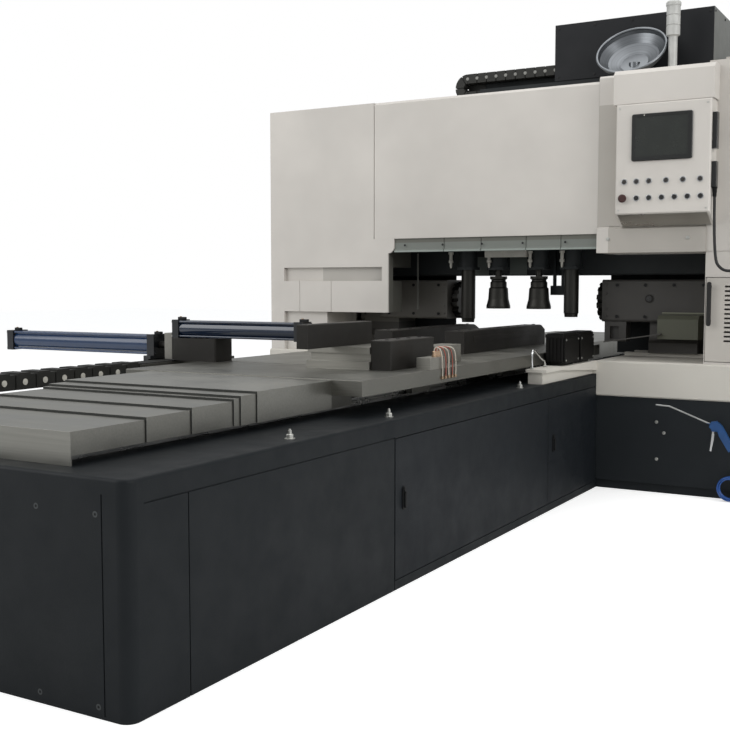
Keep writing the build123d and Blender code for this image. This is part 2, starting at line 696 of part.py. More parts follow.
# Right column: cabinet with a service locker behind its door
service_span = (tower_right + 3, portal_half_width - 6)
service_heights = (base_top + 10, beam_bottom - 16)
gland = (portal_half_width - 29, beam_bottom + 18)
with BuildPart() as right_column:
    with BuildSketch(across(tower_right)):
        with BuildLine():
            Polyline((portal_front, base_top), (portal_front, cabinet_top), (beam_front - 10, cabinet_top),
                     (beam_front - 10, cabinet_top + 80), (beam_rear, cabinet_top + 80),
                     (beam_rear, base_top),
                     close=True)
        make_face()
    extrude(amount=portal_half_width - tower_right)
    block(service_span, (portal_front - 1, portal_front + door_depth + slide_gap), service_heights,
          Mode.SUBTRACT)
    block((service_span[0] + 24, service_span[1]), (portal_front + 5, beam_front - 20), service_heights,
          Mode.SUBTRACT)
    pivot = (service_span[1] - door_pivot_inset, portal_front + door_pivot_depth)
    for z in (service_heights[0] - 9, service_heights[1] - 1):
        door_pin(*pivot, z, z + 16, door_pin_radius + bore_gap, Mode.SUBTRACT)
    block((tower_right - 1, portal_half_width + 1), (portal_front - 1, portal_front + seam_depth),
          (tower_bottom - 2, tower_bottom - 2 + seam_width), Mode.SUBTRACT)
    # cable gland
    rod((gland[0], portal_front, gland[1]), (gland[0], portal_front - 16, gland[1]), 13)
save(right_column, "right_column")

with BuildPart() as service_door:
    low, high = service_heights[0] + door_gap, service_heights[1] - door_gap
    x = (service_span[0] + door_gap, service_span[1] - door_gap)
    depth = (portal_front, portal_front + door_depth)
    block(x, depth, (low, high))
    block((x[0] + door_sheet, x[1] - door_sheet), (portal_front + door_sheet, portal_front + door_depth + 1),
          (low + door_sheet, high - door_sheet), Mode.SUBTRACT)
    door_pin(*pivot, low - 8, low + 30, door_pin_radius)
    door_pin(*pivot, high - 30, high + door_pin_length, door_pin_radius)
    # louvred vent
    for row in range(13):
        z = low + 97 + row * (high - low) / 18.55
        block((x[1] - 105, x[1] - 35), (portal_front - 1, portal_front + door_sheet + 1), (z, z + 9),
              Mode.SUBTRACT)
    # pull handle on two stand-offs
    handle = (x[0] + 20, high - 127)
    with BuildSketch(along(portal_front - 22)):
        with Locations(handle):
            SlotOverall(214, 20, rotation=90)
    extrude(amount=12)
    for z in (handle[1] - 82, handle[1] + 82):
        rod((handle[0], portal_front, z), (handle[0], portal_front - 24, z), 7)
save(service_door, "service_door")

# Beam frame with its rails, chain tray and the four press cylinders
press_body_low = press_foot_low + press_foot_height + 36
press_body_radius = 52.0
press_rod_radius = 18.0    # bell feet
press_ram_radius = 40.0    # straight rams at both ends of the row
press_radii = (press_ram_radius, press_rod_radius, press_rod_radius, press_ram_radius)
tray_front = beam_chain_back - beam_chain_width - 3
tray_back = beam_chain_back + 3
roof_low = tray_top + beam_chain_height + 1.3
backing_top = beam_chain_upper - 20
top_rail = (beam_front + 120, beam_front + 165)
rail_top = beam_top + 32.0
panel_pitch = 470.0
with BuildPart() as beam_frame:
    block((side_wall, tower_right), (beam_front, beam_rear), (beam_bottom, beam_top))
    fillet(beam_frame.edges().filter_by(Axis.X).group_by(Axis.Z)[0], 14)
    # panel recesses between the ribs on the rear face
    for panel in range(5):
        x = side_wall + 90 + panel * panel_pitch
        for heights in ((low_rail[1] + 75, beam_top - 90), (beam_bottom + 30, low_rail[0] - 30)):
            block((x, x + panel_pitch - 90), (beam_rear - 12, beam_rear + 1), heights, Mode.SUBTRACT)
    rail_span = (side_wall + 20, tower_right - 20)
    block(rail_span, top_rail, (beam_top, rail_top))
    block(rail_span, (beam_rear, beam_rear + 32), low_rail)
    # guards behind the heads, on spacers clear of the heads' backs, notched where the table runs under
    for guard in ((side_wall, -480), (right_cutter_face, tower_right)):
        block(guard, (beam_rear + 2, beam_rear + 10), (base_top, beam_bottom + 24))
        block(guard, (beam_rear, beam_rear + 3), (beam_bottom + 4, beam_bottom + 24))
    block((-table_half_width - 8, table_half_width + 8), (beam_rear + 1, beam_rear + 11),
          (base_top - 1, table_top + 8), Mode.SUBTRACT)
    # press beam under the front
    press_beam_top = press_plate + 60
    press_beam_front = press_line - 120
    block((corner[0], tower_left - 3), (press_beam_front, beam_front), (press_plate, press_beam_top))
    for x in (-400, -120, 120, 350, 560):
        with BuildSketch(across(x)):
            with BuildLine():
                Polyline((beam_front, press_beam_top - 1), (press_beam_front + 10, press_beam_top - 1),
                         (beam_front, press_beam_top + 260), close=True)
            make_face()
        extrude(amount=16)
    # bracket for the air nozzles, hung between the last two press cylinders
    bracket = (press_line + 54, press_line + 74)
    block((282, 366), bracket, (press_foot_low + 76, press_foot_low + 128))
    for x in (296, 344):
        block((x, x + 14), bracket, (press_foot_low + 127, press_plate + 1))
    # chain tray on the cowl's roof, roofed where the lower run slides away
    tray_ends = (side_wall + 40, tower_left - 5)
    wall_top = tray_top + 12.3
    with BuildSketch(across(tray_ends[0])):
        with BuildLine():
            Polyline((tray_front - 4, tray_top - 4), (tray_back + 4, tray_top - 4), (tray_back + 4, wall_top),
                     (tray_back, wall_top), (tray_back, tray_top), (tray_front, tray_top),
                     (tray_front, wall_top),
                     (tray_front - 4, wall_top), close=True)
        make_face()
    extrude(amount=tray_ends[1] - tray_ends[0])
    block(tray_ends, (tray_front + 8, beam_front + 8), (cowl_top, tray_top - 3))
    block(tray_ends, (beam_front, beam_front + 8), (beam_top - 1, tray_top - 3))
    roof = (-150, tray_ends[1])
    for y in (tray_front - 4, tray_back):
        block(roof, (y, y + 4), (wall_top - 2, roof_low + 3))
    block(roof, (tray_front - 4, tray_back + 4), (roof_low, roof_low + 4))
    # backing sheet behind the chain's two runs
    block((-225, tray_ends[1]), (tray_back, tray_back + 4), (wall_top - 2, backing_top))
    # press cylinders
    for x, radius in zip(press_places, press_radii):
        with BuildSketch(Plane.XY.offset(press_body_low)):
            with Locations((x, press_line)):
                RectangleRounded(2 * press_body_radius, 2 * press_body_radius, 14)
        extrude(amount=16)
        rod((x, press_line, press_body_low + 16), (x, press_line, press_plate), press_body_radius)
        rod((x, press_line, press_body_low), (x, press_line, press_plate - 4), radius + bore_gap,
            Mode.SUBTRACT)
save(beam_frame, "beam_frame")

# Beam casing: folded cowl over the beam's front, with the slotted strip under it
with BuildPart() as beam_casing:
    with BuildSketch(across(cowl_end + seam_width)):
        with BuildLine():
            Polyline((beam_front - slide_gap, cowl_top), (portal_front + 14, cowl_top),
                     (portal_front, cowl_top - 14),
                     (portal_front, strip_high), (portal_front + 110, strip_high),
                     (portal_front + 110, strip_high + 24), (portal_front + 22, strip_high + 24),
                     (portal_front + 22, cowl_top - 20),
                     (beam_front - slide_gap, cowl_top - 20), close=True)
        make_face()
    extrude(amount=tower_left - slide_gap - cowl_end - seam_width)
    # strip under the cowl, with a rolled lower edge and four joints
    with BuildSketch(across(corner[0])):
        with BuildLine():
            Polyline((portal_front + 10, strip_high), (portal_front + 10, strip_low + 16),
                     (portal_front + 2, strip_low + 8), (portal_front + 2, strip_low),
                     (portal_front + 34, strip_low),
                     (portal_front + 34, strip_high), close=True)
        make_face()
    extrude(amount=tower_left - slide_gap - corner[0])
    for x in (-233, -11, 248, 441):
        block((x, x + seam_width), (portal_front, portal_front + 16), (strip_low - 1, strip_high),
              Mode.SUBTRACT)
save(beam_casing, "beam_casing")

# Console tower: cabinet with a lower lip and a roof hood
lip_high = console_low - 56
shelf_low = lip_high + 4
with BuildPart() as console_tower:
    with BuildSketch(across(tower_left)):
        with BuildLine():
            Polyline((beam_front - slide_gap, tower_bottom), (portal_front - 12, tower_bottom),
                     (portal_front - 12, lip_high - 8), (portal_front, lip_high),
                     (portal_front, tower_top - 10),
                     (portal_front + 10, tower_top), (beam_front - slide_gap, tower_top), close=True)
        make_face()
    extrude(amount=tower_right - tower_left)
    with BuildSketch(across(console_left - 20)):
        with BuildLine():
            Polyline((portal_front, console_high + 3), (console_front + 14, console_high + 3),
                     (console_front + 14, tower_top - 22), (console_front + 36, tower_top),
                     (portal_front, tower_top), close=True)
        make_face()
    extrude(amount=console_right + 8 - console_left + 20)
    block((tower_left - 1, console_left), (portal_front - 20, portal_front + seam_depth),
          (shelf_low, shelf_low + 3),
          Mode.SUBTRACT)
save(console_tower, "console_tower")

# Console box with holes for the lamps and buttons
hole_radius = 11.0
button_places = [button_first + button_pitch * step for step in range(6)]
operators = [(x, lamp_row) for x in lamp_places] + [(x, button_row) for x in button_places + [stop_place]]
with BuildPart() as console_box:
    with BuildSketch(across(console_left)):
        with BuildLine():
            Polyline((portal_front, console_high), (console_front + 6, console_high),
                     (console_front, console_high - 6),
                     (console_front, console_low + 6), (console_front + 6, console_low),
                     (portal_front - 20, shelf_low), (portal_front, shelf_low), close=True)
        make_face()
    extrude(amount=console_right - console_left)
    fillet(console_box.edges().filter_by(Axis.Z).group_by(Axis.Y)[0], 8)
    with BuildSketch(along(console_front + 26)):
        with Locations(*operators):
            Circle(hole_radius + bore_gap)
    extrude(amount=40, mode=Mode.SUBTRACT)
save(console_box, "console_box")

screen_centre = (console_left + 223, console_low + 372)
with BuildPart() as screen:
    with BuildSketch(along(console_front)):
        with Locations((screen_centre[0] + 3, screen_centre[1] - 4)):
            RectangleRounded(292, 226, 10)
    extrude(amount=9)
    chamfer(screen.faces().sort_by(Axis.Y)[0].edges(), 2)
    with BuildSketch(along(console_front - 7)):
        with Locations(screen_centre):
            Rectangle(252, 188)
    extrude(amount=5, mode=Mode.SUBTRACT)
save(screen, "screen")

# Bezel rings, side connectors and the cable's outlet on the console
with BuildPart() as console_fittings:
    with BuildSketch(along(console_front)):
        with Locations(*operators):
            Circle(15)
            Circle(hole_radius + 0.4, mode=Mode.SUBTRACT)
    extrude(amount=5)
    for z, height in ((console_low + 298, 170), (console_low + 118, 120)):
        with BuildSketch(Plane.XY.offset(z)):
            with Locations((console_right + 12, console_front + 38)):
                RectangleRounded(24, 44, 5)
        extrude(amount=height)
save(console_fittings, "console_fittings")

with BuildPart() as pilot_lamps:
    for x in lamp_places:
        with BuildSketch(along(console_front + 12)):
            with Locations((x, lamp_row)):
                Circle(hole_radius)
        extrude(amount=21)
    fillet(pilot_lamps.edges().filter_by(GeomType.CIRCLE).group_by(Axis.Y)[0], 3)
save(pilot_lamps, "pilot_lamps")

for number, x in enumerate(button_places, 1):
    with BuildPart() as push_button:
        with BuildSketch(along(console_front + 12)):
            with Locations((x, button_row)):
                Circle(hole_radius)
        extrude(amount=22)
        fillet(push_button.edges().filter_by(GeomType.CIRCLE).group_by(Axis.Y)[0], 1.5)
    save(push_button, f"push_button_{number}")

with BuildPart() as e_stop:
    stop_axis = Plane(origin=(stop_place, console_front + 12, button_row), x_dir=(1, 0, 0), z_dir=(0, -1, 0))
    with BuildSketch(stop_axis):
        Circle(hole_radius)
    extrude(amount=26)
    with BuildSketch(stop_axis.offset(24)):
        Circle(20)
    extrude(amount=14)
    fillet(e_stop.edges().filter_by(GeomType.CIRCLE).group_by(Axis.Y)[0], 6)
save(e_stop, "e_stop")

# Signal tower and funnel on the tower's roof
signal_place = (tower_left + 326, portal_front + 146)
with BuildPart() as signal_tower:
    with BuildSketch(Plane(origin=(*signal_place, tower_top), x_dir=(1, 0, 0), z_dir=(0, -1, 0))):
        with BuildLine():
            Polyline((0, 0), (38, 0), (38, 8), (22, 12), (22, 189), (34, 195), (34, 240), (31, 243),
                     (34, 246),
                     (34, 290), (31, 293), (34, 296), (34, 337), (37, 341), (37, 355), (29, 363), (0, 365),
                     close=True)
        make_face()
    revolve(axis=Axis((*signal_place, 0), (0, 0, 1)))
save(signal_tower, "signal_tower")

funnel_radius = 181.0
funnel_depth = 80.0
funnel_tilt = 42.0
funnel_sheet = 4.0
funnel_rim = 7.0
funnel_mouth = (tower_left + 116, portal_front + 146, tower_top + 147)
facing = (0, -math.cos(math.radians(funnel_tilt)), math.sin(math.radians(funnel_tilt)))
with BuildPart() as extraction_funnel:
    section = Plane(origin=funnel_mouth, x_dir=(1, 0, 0), z_dir=Vector(1, 0, 0).cross(Vector(*facing)))
    with BuildSketch(section):
        with BuildLine():
            lip = funnel_radius - 9
            Polyline((0, -funnel_depth), (70, -funnel_depth), (lip - 42, -0.7 * funnel_depth),
                     (lip - 6, -0.28 * funnel_depth), (lip, 0), (lip + funnel_sheet, -1),
                     (lip - 6 + funnel_sheet, -0.28 * funnel_depth - 2),
                     (lip - 42 + funnel_sheet, -0.7 * funnel_depth - funnel_sheet),
                     (72, -funnel_depth - funnel_sheet),
                     (0, -funnel_depth - funnel_sheet), close=True)
        make_face()
        with Locations((funnel_radius - 6, 0)):
            Circle(funnel_rim)
    revolve(axis=Axis(funnel_mouth, facing))
    bottom = Vector(*funnel_mouth) - Vector(*facing) * (funnel_depth + funnel_sheet)
    rod((bottom.X, bottom.Y, tower_top), (bottom.X, bottom.Y, bottom.Z + 2), 30)
save(extraction_funnel, "extraction_funnel")

# Air gun on its peg, with its trigger, hose and hose coil
gun_half = 12.0
trigger_pivot = (peg[0] - 15, peg[1] + 14)
trigger_pin_radius = 3.0
with BuildPart() as air_gun:
    with BuildSketch(along(gun_line + gun_half)):
        with BuildLine():
            Polyline(*shifted(peg, (-35, 26), (-25, 52), (-1, 56), (25, 34), (85, -74), (59, -90), (12, -14),
                              (6, 5), (-12, 5)), close=True)
        make_face()
        with Locations(trigger_pivot):
            Circle(9)
    extrude(amount=2 * gun_half)
    block((trigger_pivot[0] - 16, trigger_pivot[0] + 9), (gun_line - 4, gun_line + 4),
          (trigger_pivot[1] - 20, trigger_pivot[1] + 10), Mode.SUBTRACT)
    rod((trigger_pivot[0], gun_line - gun_half, trigger_pivot[1]),
        (trigger_pivot[0], gun_line + gun_half, trigger_pivot[1]), trigger_pin_radius)
    elbow = (peg[0] - 228, peg[1] + 115)
    rod((peg[0] - 25, gun_line, peg[1] + 38), (elbow[0] - 3, gun_line, elbow[1] + 1), 4)
    rod((elbow[0], gun_line, elbow[1]), (elbow[0] - 67, gun_line, elbow[1] + 4), 4)
save(air_gun, "air_gun")

with BuildPart() as gun_trigger:
    with BuildSketch(along(gun_line + 3.7)):
        with BuildLine():
            Polyline(*shifted(trigger_pivot, (-6, 0), (-10, -50), (-16, -104), (-8, -107), (2, -50), (6, 0)),
                     close=True)
        make_face()
        with Locations(trigger_pivot):
            Circle(7)
            Circle(trigger_pin_radius + bore_gap, mode=Mode.SUBTRACT)
    extrude(amount=7.4)
save(gun_trigger, "gun_trigger")

coil_centre = (outlet[0] - 36, outlet[1] - 35)
coil_outer = 62.0
with BuildPart() as hose_coil:
    with BuildSketch(along(coil_line)):
        with Locations(coil_centre):
            Circle(coil_outer)
            Circle(coil_outer - 22, mode=Mode.SUBTRACT)
    extrude(amount=24)
    fillet(hose_coil.edges().filter_by(GeomType.CIRCLE), 6)
    # ferrule that the hose plugs on
    rod((coil_centre[0] + 26, coil_line - 12, coil_centre[1] + 45),
        (coil_centre[0] + 33, coil_line - 12, coil_centre[1] + 57.2), 7)
save(hose_coil, "hose_coil")


def cord(points, diameter):
    """Tube along straight runs joined by arcs as large as the runs allow."""
    spots = [Vector(*point) for point in points]
    radii = []
    for before, corner, after in zip(spots, spots[1:], spots[2:]):
        turn = math.radians((corner - before).get_angle(after - corner))
        shorter = min((corner - before).length, (after - corner).length)
        radii.append(0.45 * shorter / math.tan(turn / 2))
    print("cord radii", [round(radius, 1) for radius in radii])
    with BuildLine() as route:
        FilletPolyline(*spots, radius=radii)
    with BuildSketch(Plane(origin=route.line @ 0, z_dir=route.line % 0)) as section:
        Circle(diameter / 2)
    sweep(section.sketch, path=route.line)
    print("cord length", round(route.wires()[0].length, 1))


hose_points = [(1343, gun_line, 254), (1358.2, gun_line, 229.3), (1373, -614, 192), (1381, -600, 147.2),
               (1366.1, -600, 121.5)]
with BuildPart() as air_hose:
    cord(hose_points, 8)
save(air_hose, "air_hose")

cable_points = [(1236, -630, 1510), (1236, -630, 1175), (1278, -634, 1115), (1332, -634, 1112),
                (1362, -604, 1118), (1362, -562, 1118)]
with BuildPart() as console_cable:
    cord(cable_points, 14)
save(console_cable, "console_cable")


# Milling heads: spindle housings on saddles, and their toothed cutters
def spindle_housing(x, saddle, nose):
    """Housing along X with a saddle on the ways; nose is the X where the spindle flange starts."""
    with BuildSketch(across(x[0])) as section:
        with Locations((0, (head_low + head_high) / 2)):
            RectangleRounded(2 * head_half_depth, head_high - head_low, 16)
    extrude(section.sketch, amount=x[1] - x[0])
    with BuildSketch(across(saddle[0])) as section:
        with BuildLine():
            Polyline((-135, head_way_top + slide_gap), (135, head_way_top + slide_gap),
                     (135, head_way_top + 55),
                     (110, head_way_top + 95), (110, head_low + 6), (-110, head_low + 6),
                     (-110, head_way_top + 95),
                     (-135, head_way_top + 55), close=True)
        make_face()
    extrude(section.sketch, amount=saddle[1] - saddle[0])
    rod((nose[0], 0, spindle_height), (nose[1], 0, spindle_height), 74)
    for z in (head_low + 30, head_low + 75, head_high - 75, head_high - 30):
        for edge in (x[0] + 22, x[1] - 22):
            rod((edge, -head_half_depth, z), (edge, -head_half_depth - 5, z), 7)


spindle_radius = 25.0
with BuildPart() as right_head:
    nose = right_cutter_face + cutter_width + 4
    spindle_housing((nose + 3, tower_right - 33), (800, tower_right - 123), (nose, nose + 4))
    oiler = (805, spindle_height + 17)
    rod((oiler[0], -head_half_depth - 1, oiler[1]), (oiler[0], -head_half_depth + 30, oiler[1]), 16,
        Mode.SUBTRACT)
    block((nose + 18, nose + 138), (-145, -60), (head_low - 107, head_low + 1))
    block((nose + 48, nose + 98), (-146, -120), (head_low - 93, head_low - 25), Mode.SUBTRACT)
    # feed motor and chip chute
    with BuildSketch(across(880)):
        with BuildLine():
            Polyline((-138, head_low - 83), (-262, head_low - 83), (-262, head_low + 21),
                     (-240, head_low + 41),
                     (-138, head_low + 41), close=True)
        make_face()
    extrude(amount=210)
    with BuildSketch(along(-160)):
        with BuildLine():
            Polyline((600, head_low - 107), (905, head_low - 59), (905, head_low - 53), (600, head_low - 101),
                     close=True)
        make_face()
    extrude(amount=130)
    block((860, 905), (-162, -100), (head_low - 75, head_low - 53))
    rod((nose - 2, 0, spindle_height), (nose + 98, 0, spindle_height), spindle_radius + bore_gap,
        Mode.SUBTRACT)
save(right_head, "right_head")

with BuildPart() as left_head:
    nose = left_cutter_face - cutter_width - 4
    spindle_housing((-850, nose - 3), (-980, -740), (nose - 4, nose))
    with BuildSketch(across(-1010)):
        with Locations((0, spindle_height - 20)):
            RectangleRounded(220, 220, 30)
    extrude(amount=170)
    rod((nose - 98, 0, spindle_height), (nose + 2, 0, spindle_height), spindle_radius + bore_gap,
        Mode.SUBTRACT)
save(left_head, "left_head")

tooth_count = 14
for name, face, side in (("left_cutter", left_cutter_face, -1), ("right_cutter", right_cutter_face, 1)):
    with BuildPart() as cutter:
        low = min(face, face + side * cutter_width)
        with BuildSketch(across(low)):
            with Locations((0, spindle_height)):
                Circle(cutter_radius)
        extrude(amount=cutter_width)
        # bored face and chip gullets between the teeth
        recess = (low - 1, low + 9) if side > 0 else (low + cutter_width - 9, low + cutter_width + 1)
        rod((recess[0], 0, spindle_height), (recess[1], 0, spindle_height), cutter_radius - 48, Mode.SUBTRACT)
        with BuildSketch(across(low - 1)):
            with Locations((0, spindle_height)):
                with PolarLocations(cutter_radius - 2, tooth_count):
                    Rectangle(26, 20, rotation=24)
        extrude(amount=cutter_width + 2, mode=Mode.SUBTRACT)
        start = low + 10 if side > 0 else low + cutter_width - 10
        rod((start, 0, spindle_height), (start + side * (cutter_width + 77), 0, spindle_height),
            spindle_radius)
        hub = (low + 2, low + 10) if side > 0 else (low + cutter_width - 10, low + cutter_width - 2)
        rod((hub[0], 0, spindle_height), (hub[1], 0, spindle_height), 16)
    save(cutter, name)

# Press feet: two turned bells on rods, between two straight rams that rest on the work
ram_lows = {1: jaw_top + 6, 4: jaw_top + 44}
for number, (x, radius) in enumerate(zip(press_places, press_radii), 1):
    with BuildPart() as press_foot:
        if number in ram_lows:
            low = ram_lows[number]
            top = low + press_plate - press_foot_low - 20
            outline = [(x, low), (x + radius - 5, low), (x + radius - 3, low + 18), (x + radius, low + 22),
                       (x + radius, top), (x, top)]
        else:
            low = press_foot_low
            top = low + press_foot_height
            outline = [(x, low), (x + 67, low), (x + 67, low + 14), (x + 57, low + 52), (x + 53, low + 112),
                       (x + 46, low + 119), (x + 46, top - 34), (x + 40, top - 28), (x + 40, top - 20),
                       (x + 48, top - 14), (x + 48, top), (x + radius, top), (x + radius, press_plate - 14),
                       (x, press_plate - 14)]
        with BuildSketch(Plane.XZ.offset(-press_line)):
            with BuildLine():
                Polyline(*outline, close=True)
            make_face()
        revolve(axis=Axis((x, press_line, 0), (0, 0, 1)))
    save(press_foot, f"press_foot_{number}")

# Cross-cut saw: carriage under its hood, saw head on its own rails, and the blade
hood_left, hood_right = saw_centre - 420, saw_centre + 421
hood_front, hood_rear = beam_front - 70, saw_plane + 112
hood_low = beam_top + 100
hood_high = hood_low + 298
hood_sheet = 5.0
rear_plate = beam_rear + 40.0
lift_rails = (saw_centre - 110, saw_centre + 110)
motor_height = saw_height + saw_radius + 120
saddle_top = beam_top + 70
with BuildPart() as saw_carriage:
    with BuildSketch(Plane.XY.offset(hood_low)):
        with Locations(((hood_left + hood_right) / 2, (hood_front + hood_rear) / 2)):
            Rectangle(hood_right - hood_left, hood_rear - hood_front)
    extrude(amount=hood_high - hood_low)
    block((hood_left + hood_sheet, hood_right - hood_sheet),
          (hood_front + hood_sheet, hood_rear - hood_sheet),
          (hood_low - 1, hood_high - hood_sheet), Mode.SUBTRACT)
    # openings for the chain, and for the backing sheet behind it
    block((hood_left - 1, hood_left + hood_sheet + 1), (beam_chain_back - beam_chain_width - 4, tray_back + 8),
          (hood_low - 1, beam_chain_upper + beam_chain_height / 2 + 10), Mode.SUBTRACT)
    block((hood_right - hood_sheet - 1, hood_right + 1), (tray_back - 2, tray_back + 8),
          (hood_low - 1, backing_top + 3), Mode.SUBTRACT)
    # saddle over the top rail, rear plate and the gearbox that carries the hood
    saddle = (saw_centre - 300, saw_centre + 300)
    block(saddle, (top_rail[0] - 50, rear_plate + 20), (rail_top + 4, saddle_top))
    block(saddle, (rear_plate, rear_plate + 20), (low_rail[0] - 40, saddle_top - 10))
    for x in (saw_centre - 200, saw_centre + 200):
        block((x - 70, x + 70), (top_rail[0] - 28, top_rail[1] + 28), (beam_top + 8, rail_top + 5))
        block((x - 70, x + 70), (beam_rear + 8, rear_plate + 1), (low_rail[0] - 28, low_rail[1] + 28))
    block((saddle[0] - 1, saddle[1] + 1), (top_rail[0] - slide_gap, top_rail[1] + slide_gap),
          (beam_top - 1, rail_top + slide_gap), Mode.SUBTRACT)
    block((saddle[0] - 1, saddle[1] + 1), (beam_rear - 1, beam_rear + 32 + slide_gap),
          (low_rail[0] - slide_gap, low_rail[1] + slide_gap), Mode.SUBTRACT)
    block((saw_centre - 230, saw_centre + 230), (top_rail[0] - 30, rear_plate),
          (saddle_top - 1, hood_high - hood_sheet))
    block((hood_left + 2, hood_right - 2), (60, 120), (hood_low + 2, hood_low + 20))
    for x in lift_rails:
        block((x - 17, x + 17), (rear_plate + 20, rear_plate + 42), (low_rail[0], beam_top + 30))
save(saw_carriage, "saw_carriage")

head_plate = rear_plate + 50.0
gearbox_face = saw_plane - 18
arbor_radius = 20.0
with BuildPart() as saw_head:
    plate_heights = (saw_height - 110, motor_height + 100)
    block((saw_centre - 165, saw_centre + 165), (head_plate, head_plate + 28), plate_heights)
    for x in lift_rails:
        for z in (plate_heights[0] + 20, motor_height - 80):
            block((x - 42, x + 42), (rear_plate + 28, head_plate + 1), (z, z + 130))
        block((x - 17 - slide_gap, x + 17 + slide_gap), (rear_plate + 19, rear_plate + 42 + slide_gap),
              (plate_heights[0] - 50, plate_heights[1] + 20), Mode.SUBTRACT)
    # gearbox round the arbor, joined to the motor above it
    with BuildSketch(along(gearbox_face)):
        with BuildLine():
            Polyline((saw_centre - 80, saw_height), (saw_centre - 100, motor_height),
                     (saw_centre + 100, motor_height), (saw_centre + 80, saw_height), close=True)
        make_face()
        with Locations((saw_centre, saw_height)):
            Circle(80)
        with Locations((saw_centre, motor_height)):
            Circle(100)
    extrude(amount=gearbox_face - head_plate - 27)
    rod((saw_centre, gearbox_face - 1, motor_height), (saw_centre, gearbox_face + 120, motor_height), 92)
    rod((saw_centre, gearbox_face + 120, motor_height), (saw_centre, gearbox_face + 125, motor_height), 60)
    # guard over the blade's upper half
    with BuildSketch(along(saw_plane + 20)):
        with Locations((saw_centre, saw_height)):
            Circle(saw_radius + 22)
            Rectangle(2 * saw_radius + 60, saw_radius + 40, align=(Align.CENTER, Align.MAX),
                      mode=Mode.SUBTRACT)
    extrude(amount=38)
    with BuildSketch(along(saw_plane + 17)):
        with Locations((saw_centre, saw_height)):
            Circle(saw_radius + 18)
    extrude(amount=32, mode=Mode.SUBTRACT)
    rod((saw_centre, head_plate - 1, saw_height), (saw_centre, saw_plane - 14, saw_height),
        arbor_radius + bore_gap,
        Mode.SUBTRACT)
save(saw_head, "saw_head")

saw_teeth = 54
with BuildPart() as saw_blade:
    outline = []
    for tooth in range(saw_teeth):
        for share, radius in ((0.0, saw_radius), (0.55, saw_radius - 13)):
            angle = 2 * math.pi * (tooth + share) / saw_teeth
            outline.append((saw_centre + radius * math.cos(angle), saw_height + radius * math.sin(angle)))
    with BuildSketch(along(saw_plane + saw_thickness / 2)):
        with BuildLine():
            Polyline(*outline, close=True)
        make_face()
    extrude(amount=saw_thickness)
    rod((saw_centre, saw_plane - 12, saw_height), (saw_centre, saw_plane + 12, saw_height), 60)
    rod((saw_centre, head_plate + 6, saw_height), (saw_centre, saw_plane + 15, saw_height), arbor_radius)
save(saw_blade, "saw_blade")
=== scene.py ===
"""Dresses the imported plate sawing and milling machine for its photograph-like render.

The CAD frame gives every main form. This script gives the frame its finishes and adds what is too
small or too soft for the solids: cords, screws, chain pins, wipers, a hook, fittings and cover sheets.
Places and sizes are in metres in the frame's own axes: +Z up, +Y along the bed from the loading end,
+X to the console side.
"""
from __future__ import annotations

import logging
import math
from dataclasses import dataclass
from enum import Enum
from typing import Iterable, Sequence

import bmesh
import bpy
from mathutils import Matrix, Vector

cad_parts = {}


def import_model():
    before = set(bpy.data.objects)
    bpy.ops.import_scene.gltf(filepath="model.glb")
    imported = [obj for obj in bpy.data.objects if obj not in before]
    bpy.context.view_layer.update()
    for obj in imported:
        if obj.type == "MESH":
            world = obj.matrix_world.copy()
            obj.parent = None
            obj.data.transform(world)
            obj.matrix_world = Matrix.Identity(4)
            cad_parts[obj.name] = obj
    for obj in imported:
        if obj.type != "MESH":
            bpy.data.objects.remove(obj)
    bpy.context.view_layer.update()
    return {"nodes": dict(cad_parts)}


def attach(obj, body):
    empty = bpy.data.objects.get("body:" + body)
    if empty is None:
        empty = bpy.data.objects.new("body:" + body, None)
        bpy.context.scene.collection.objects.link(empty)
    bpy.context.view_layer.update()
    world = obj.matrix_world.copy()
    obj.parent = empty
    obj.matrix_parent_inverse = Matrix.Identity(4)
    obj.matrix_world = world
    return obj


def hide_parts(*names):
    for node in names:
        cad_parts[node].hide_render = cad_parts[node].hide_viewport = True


log = logging.getLogger("plate_machine")
Point = tuple[float, float, float]
Flat = tuple[float, float]


class Side(Enum):
    """The way that a fastener or fitting faces."""

    FRONT = (0.0, -1.0, 0.0)
    REAR = (0.0, 1.0, 0.0)
    RIGHT = (1.0, 0.0, 0.0)
    LEFT = (-1.0, 0.0, 0.0)
    UP = (0.0, 0.0, 1.0)
    DOWN = (0.0, 0.0, -1.0)


class Lay(Enum):
    """The direction that a brushed or ground surface was worked in."""

    ALONG_X = (0.02, 1.0, 1.0)
    ALONG_Y = (1.0, 0.02, 1.0)
    ALONG_Z = (1.0, 1.0, 0.02)


class Head(Enum):
    """A fastener's head: number of sides, width of its inner face over its own, and that face's rise."""

    SOCKET = (20, 0.55, -0.5)
    HEX = (6, 0.86, 0.12)
    BUTTON = (20, 0.6, 0.35)
    DISC = (48, 0.9, 0.02)


class Axis(Enum):
    """The axis that an outline is drawn across, as the order of its own two axes and that one."""

    X = (1, 2, 0)
    Y = (0, 2, 1)
    Z = (0, 1, 2)


def linear(colour: str) -> tuple[float, float, float, float]:
    """Turns an sRGB hex colour into linear light.

    Args:
        colour: Colour as "#RRGGBB".

    Returns:
        Linear red, green, blue and an alpha of 1.
    """
    channels = [int(colour[start:start + 2], 16) / 255 for start in (1, 3, 5)]
    red, green, blue = [c / 12.92 if c <= 0.04045 else ((c + 0.055) / 1.055) ** 2.4 for c in channels]
    return red, green, blue, 1.0


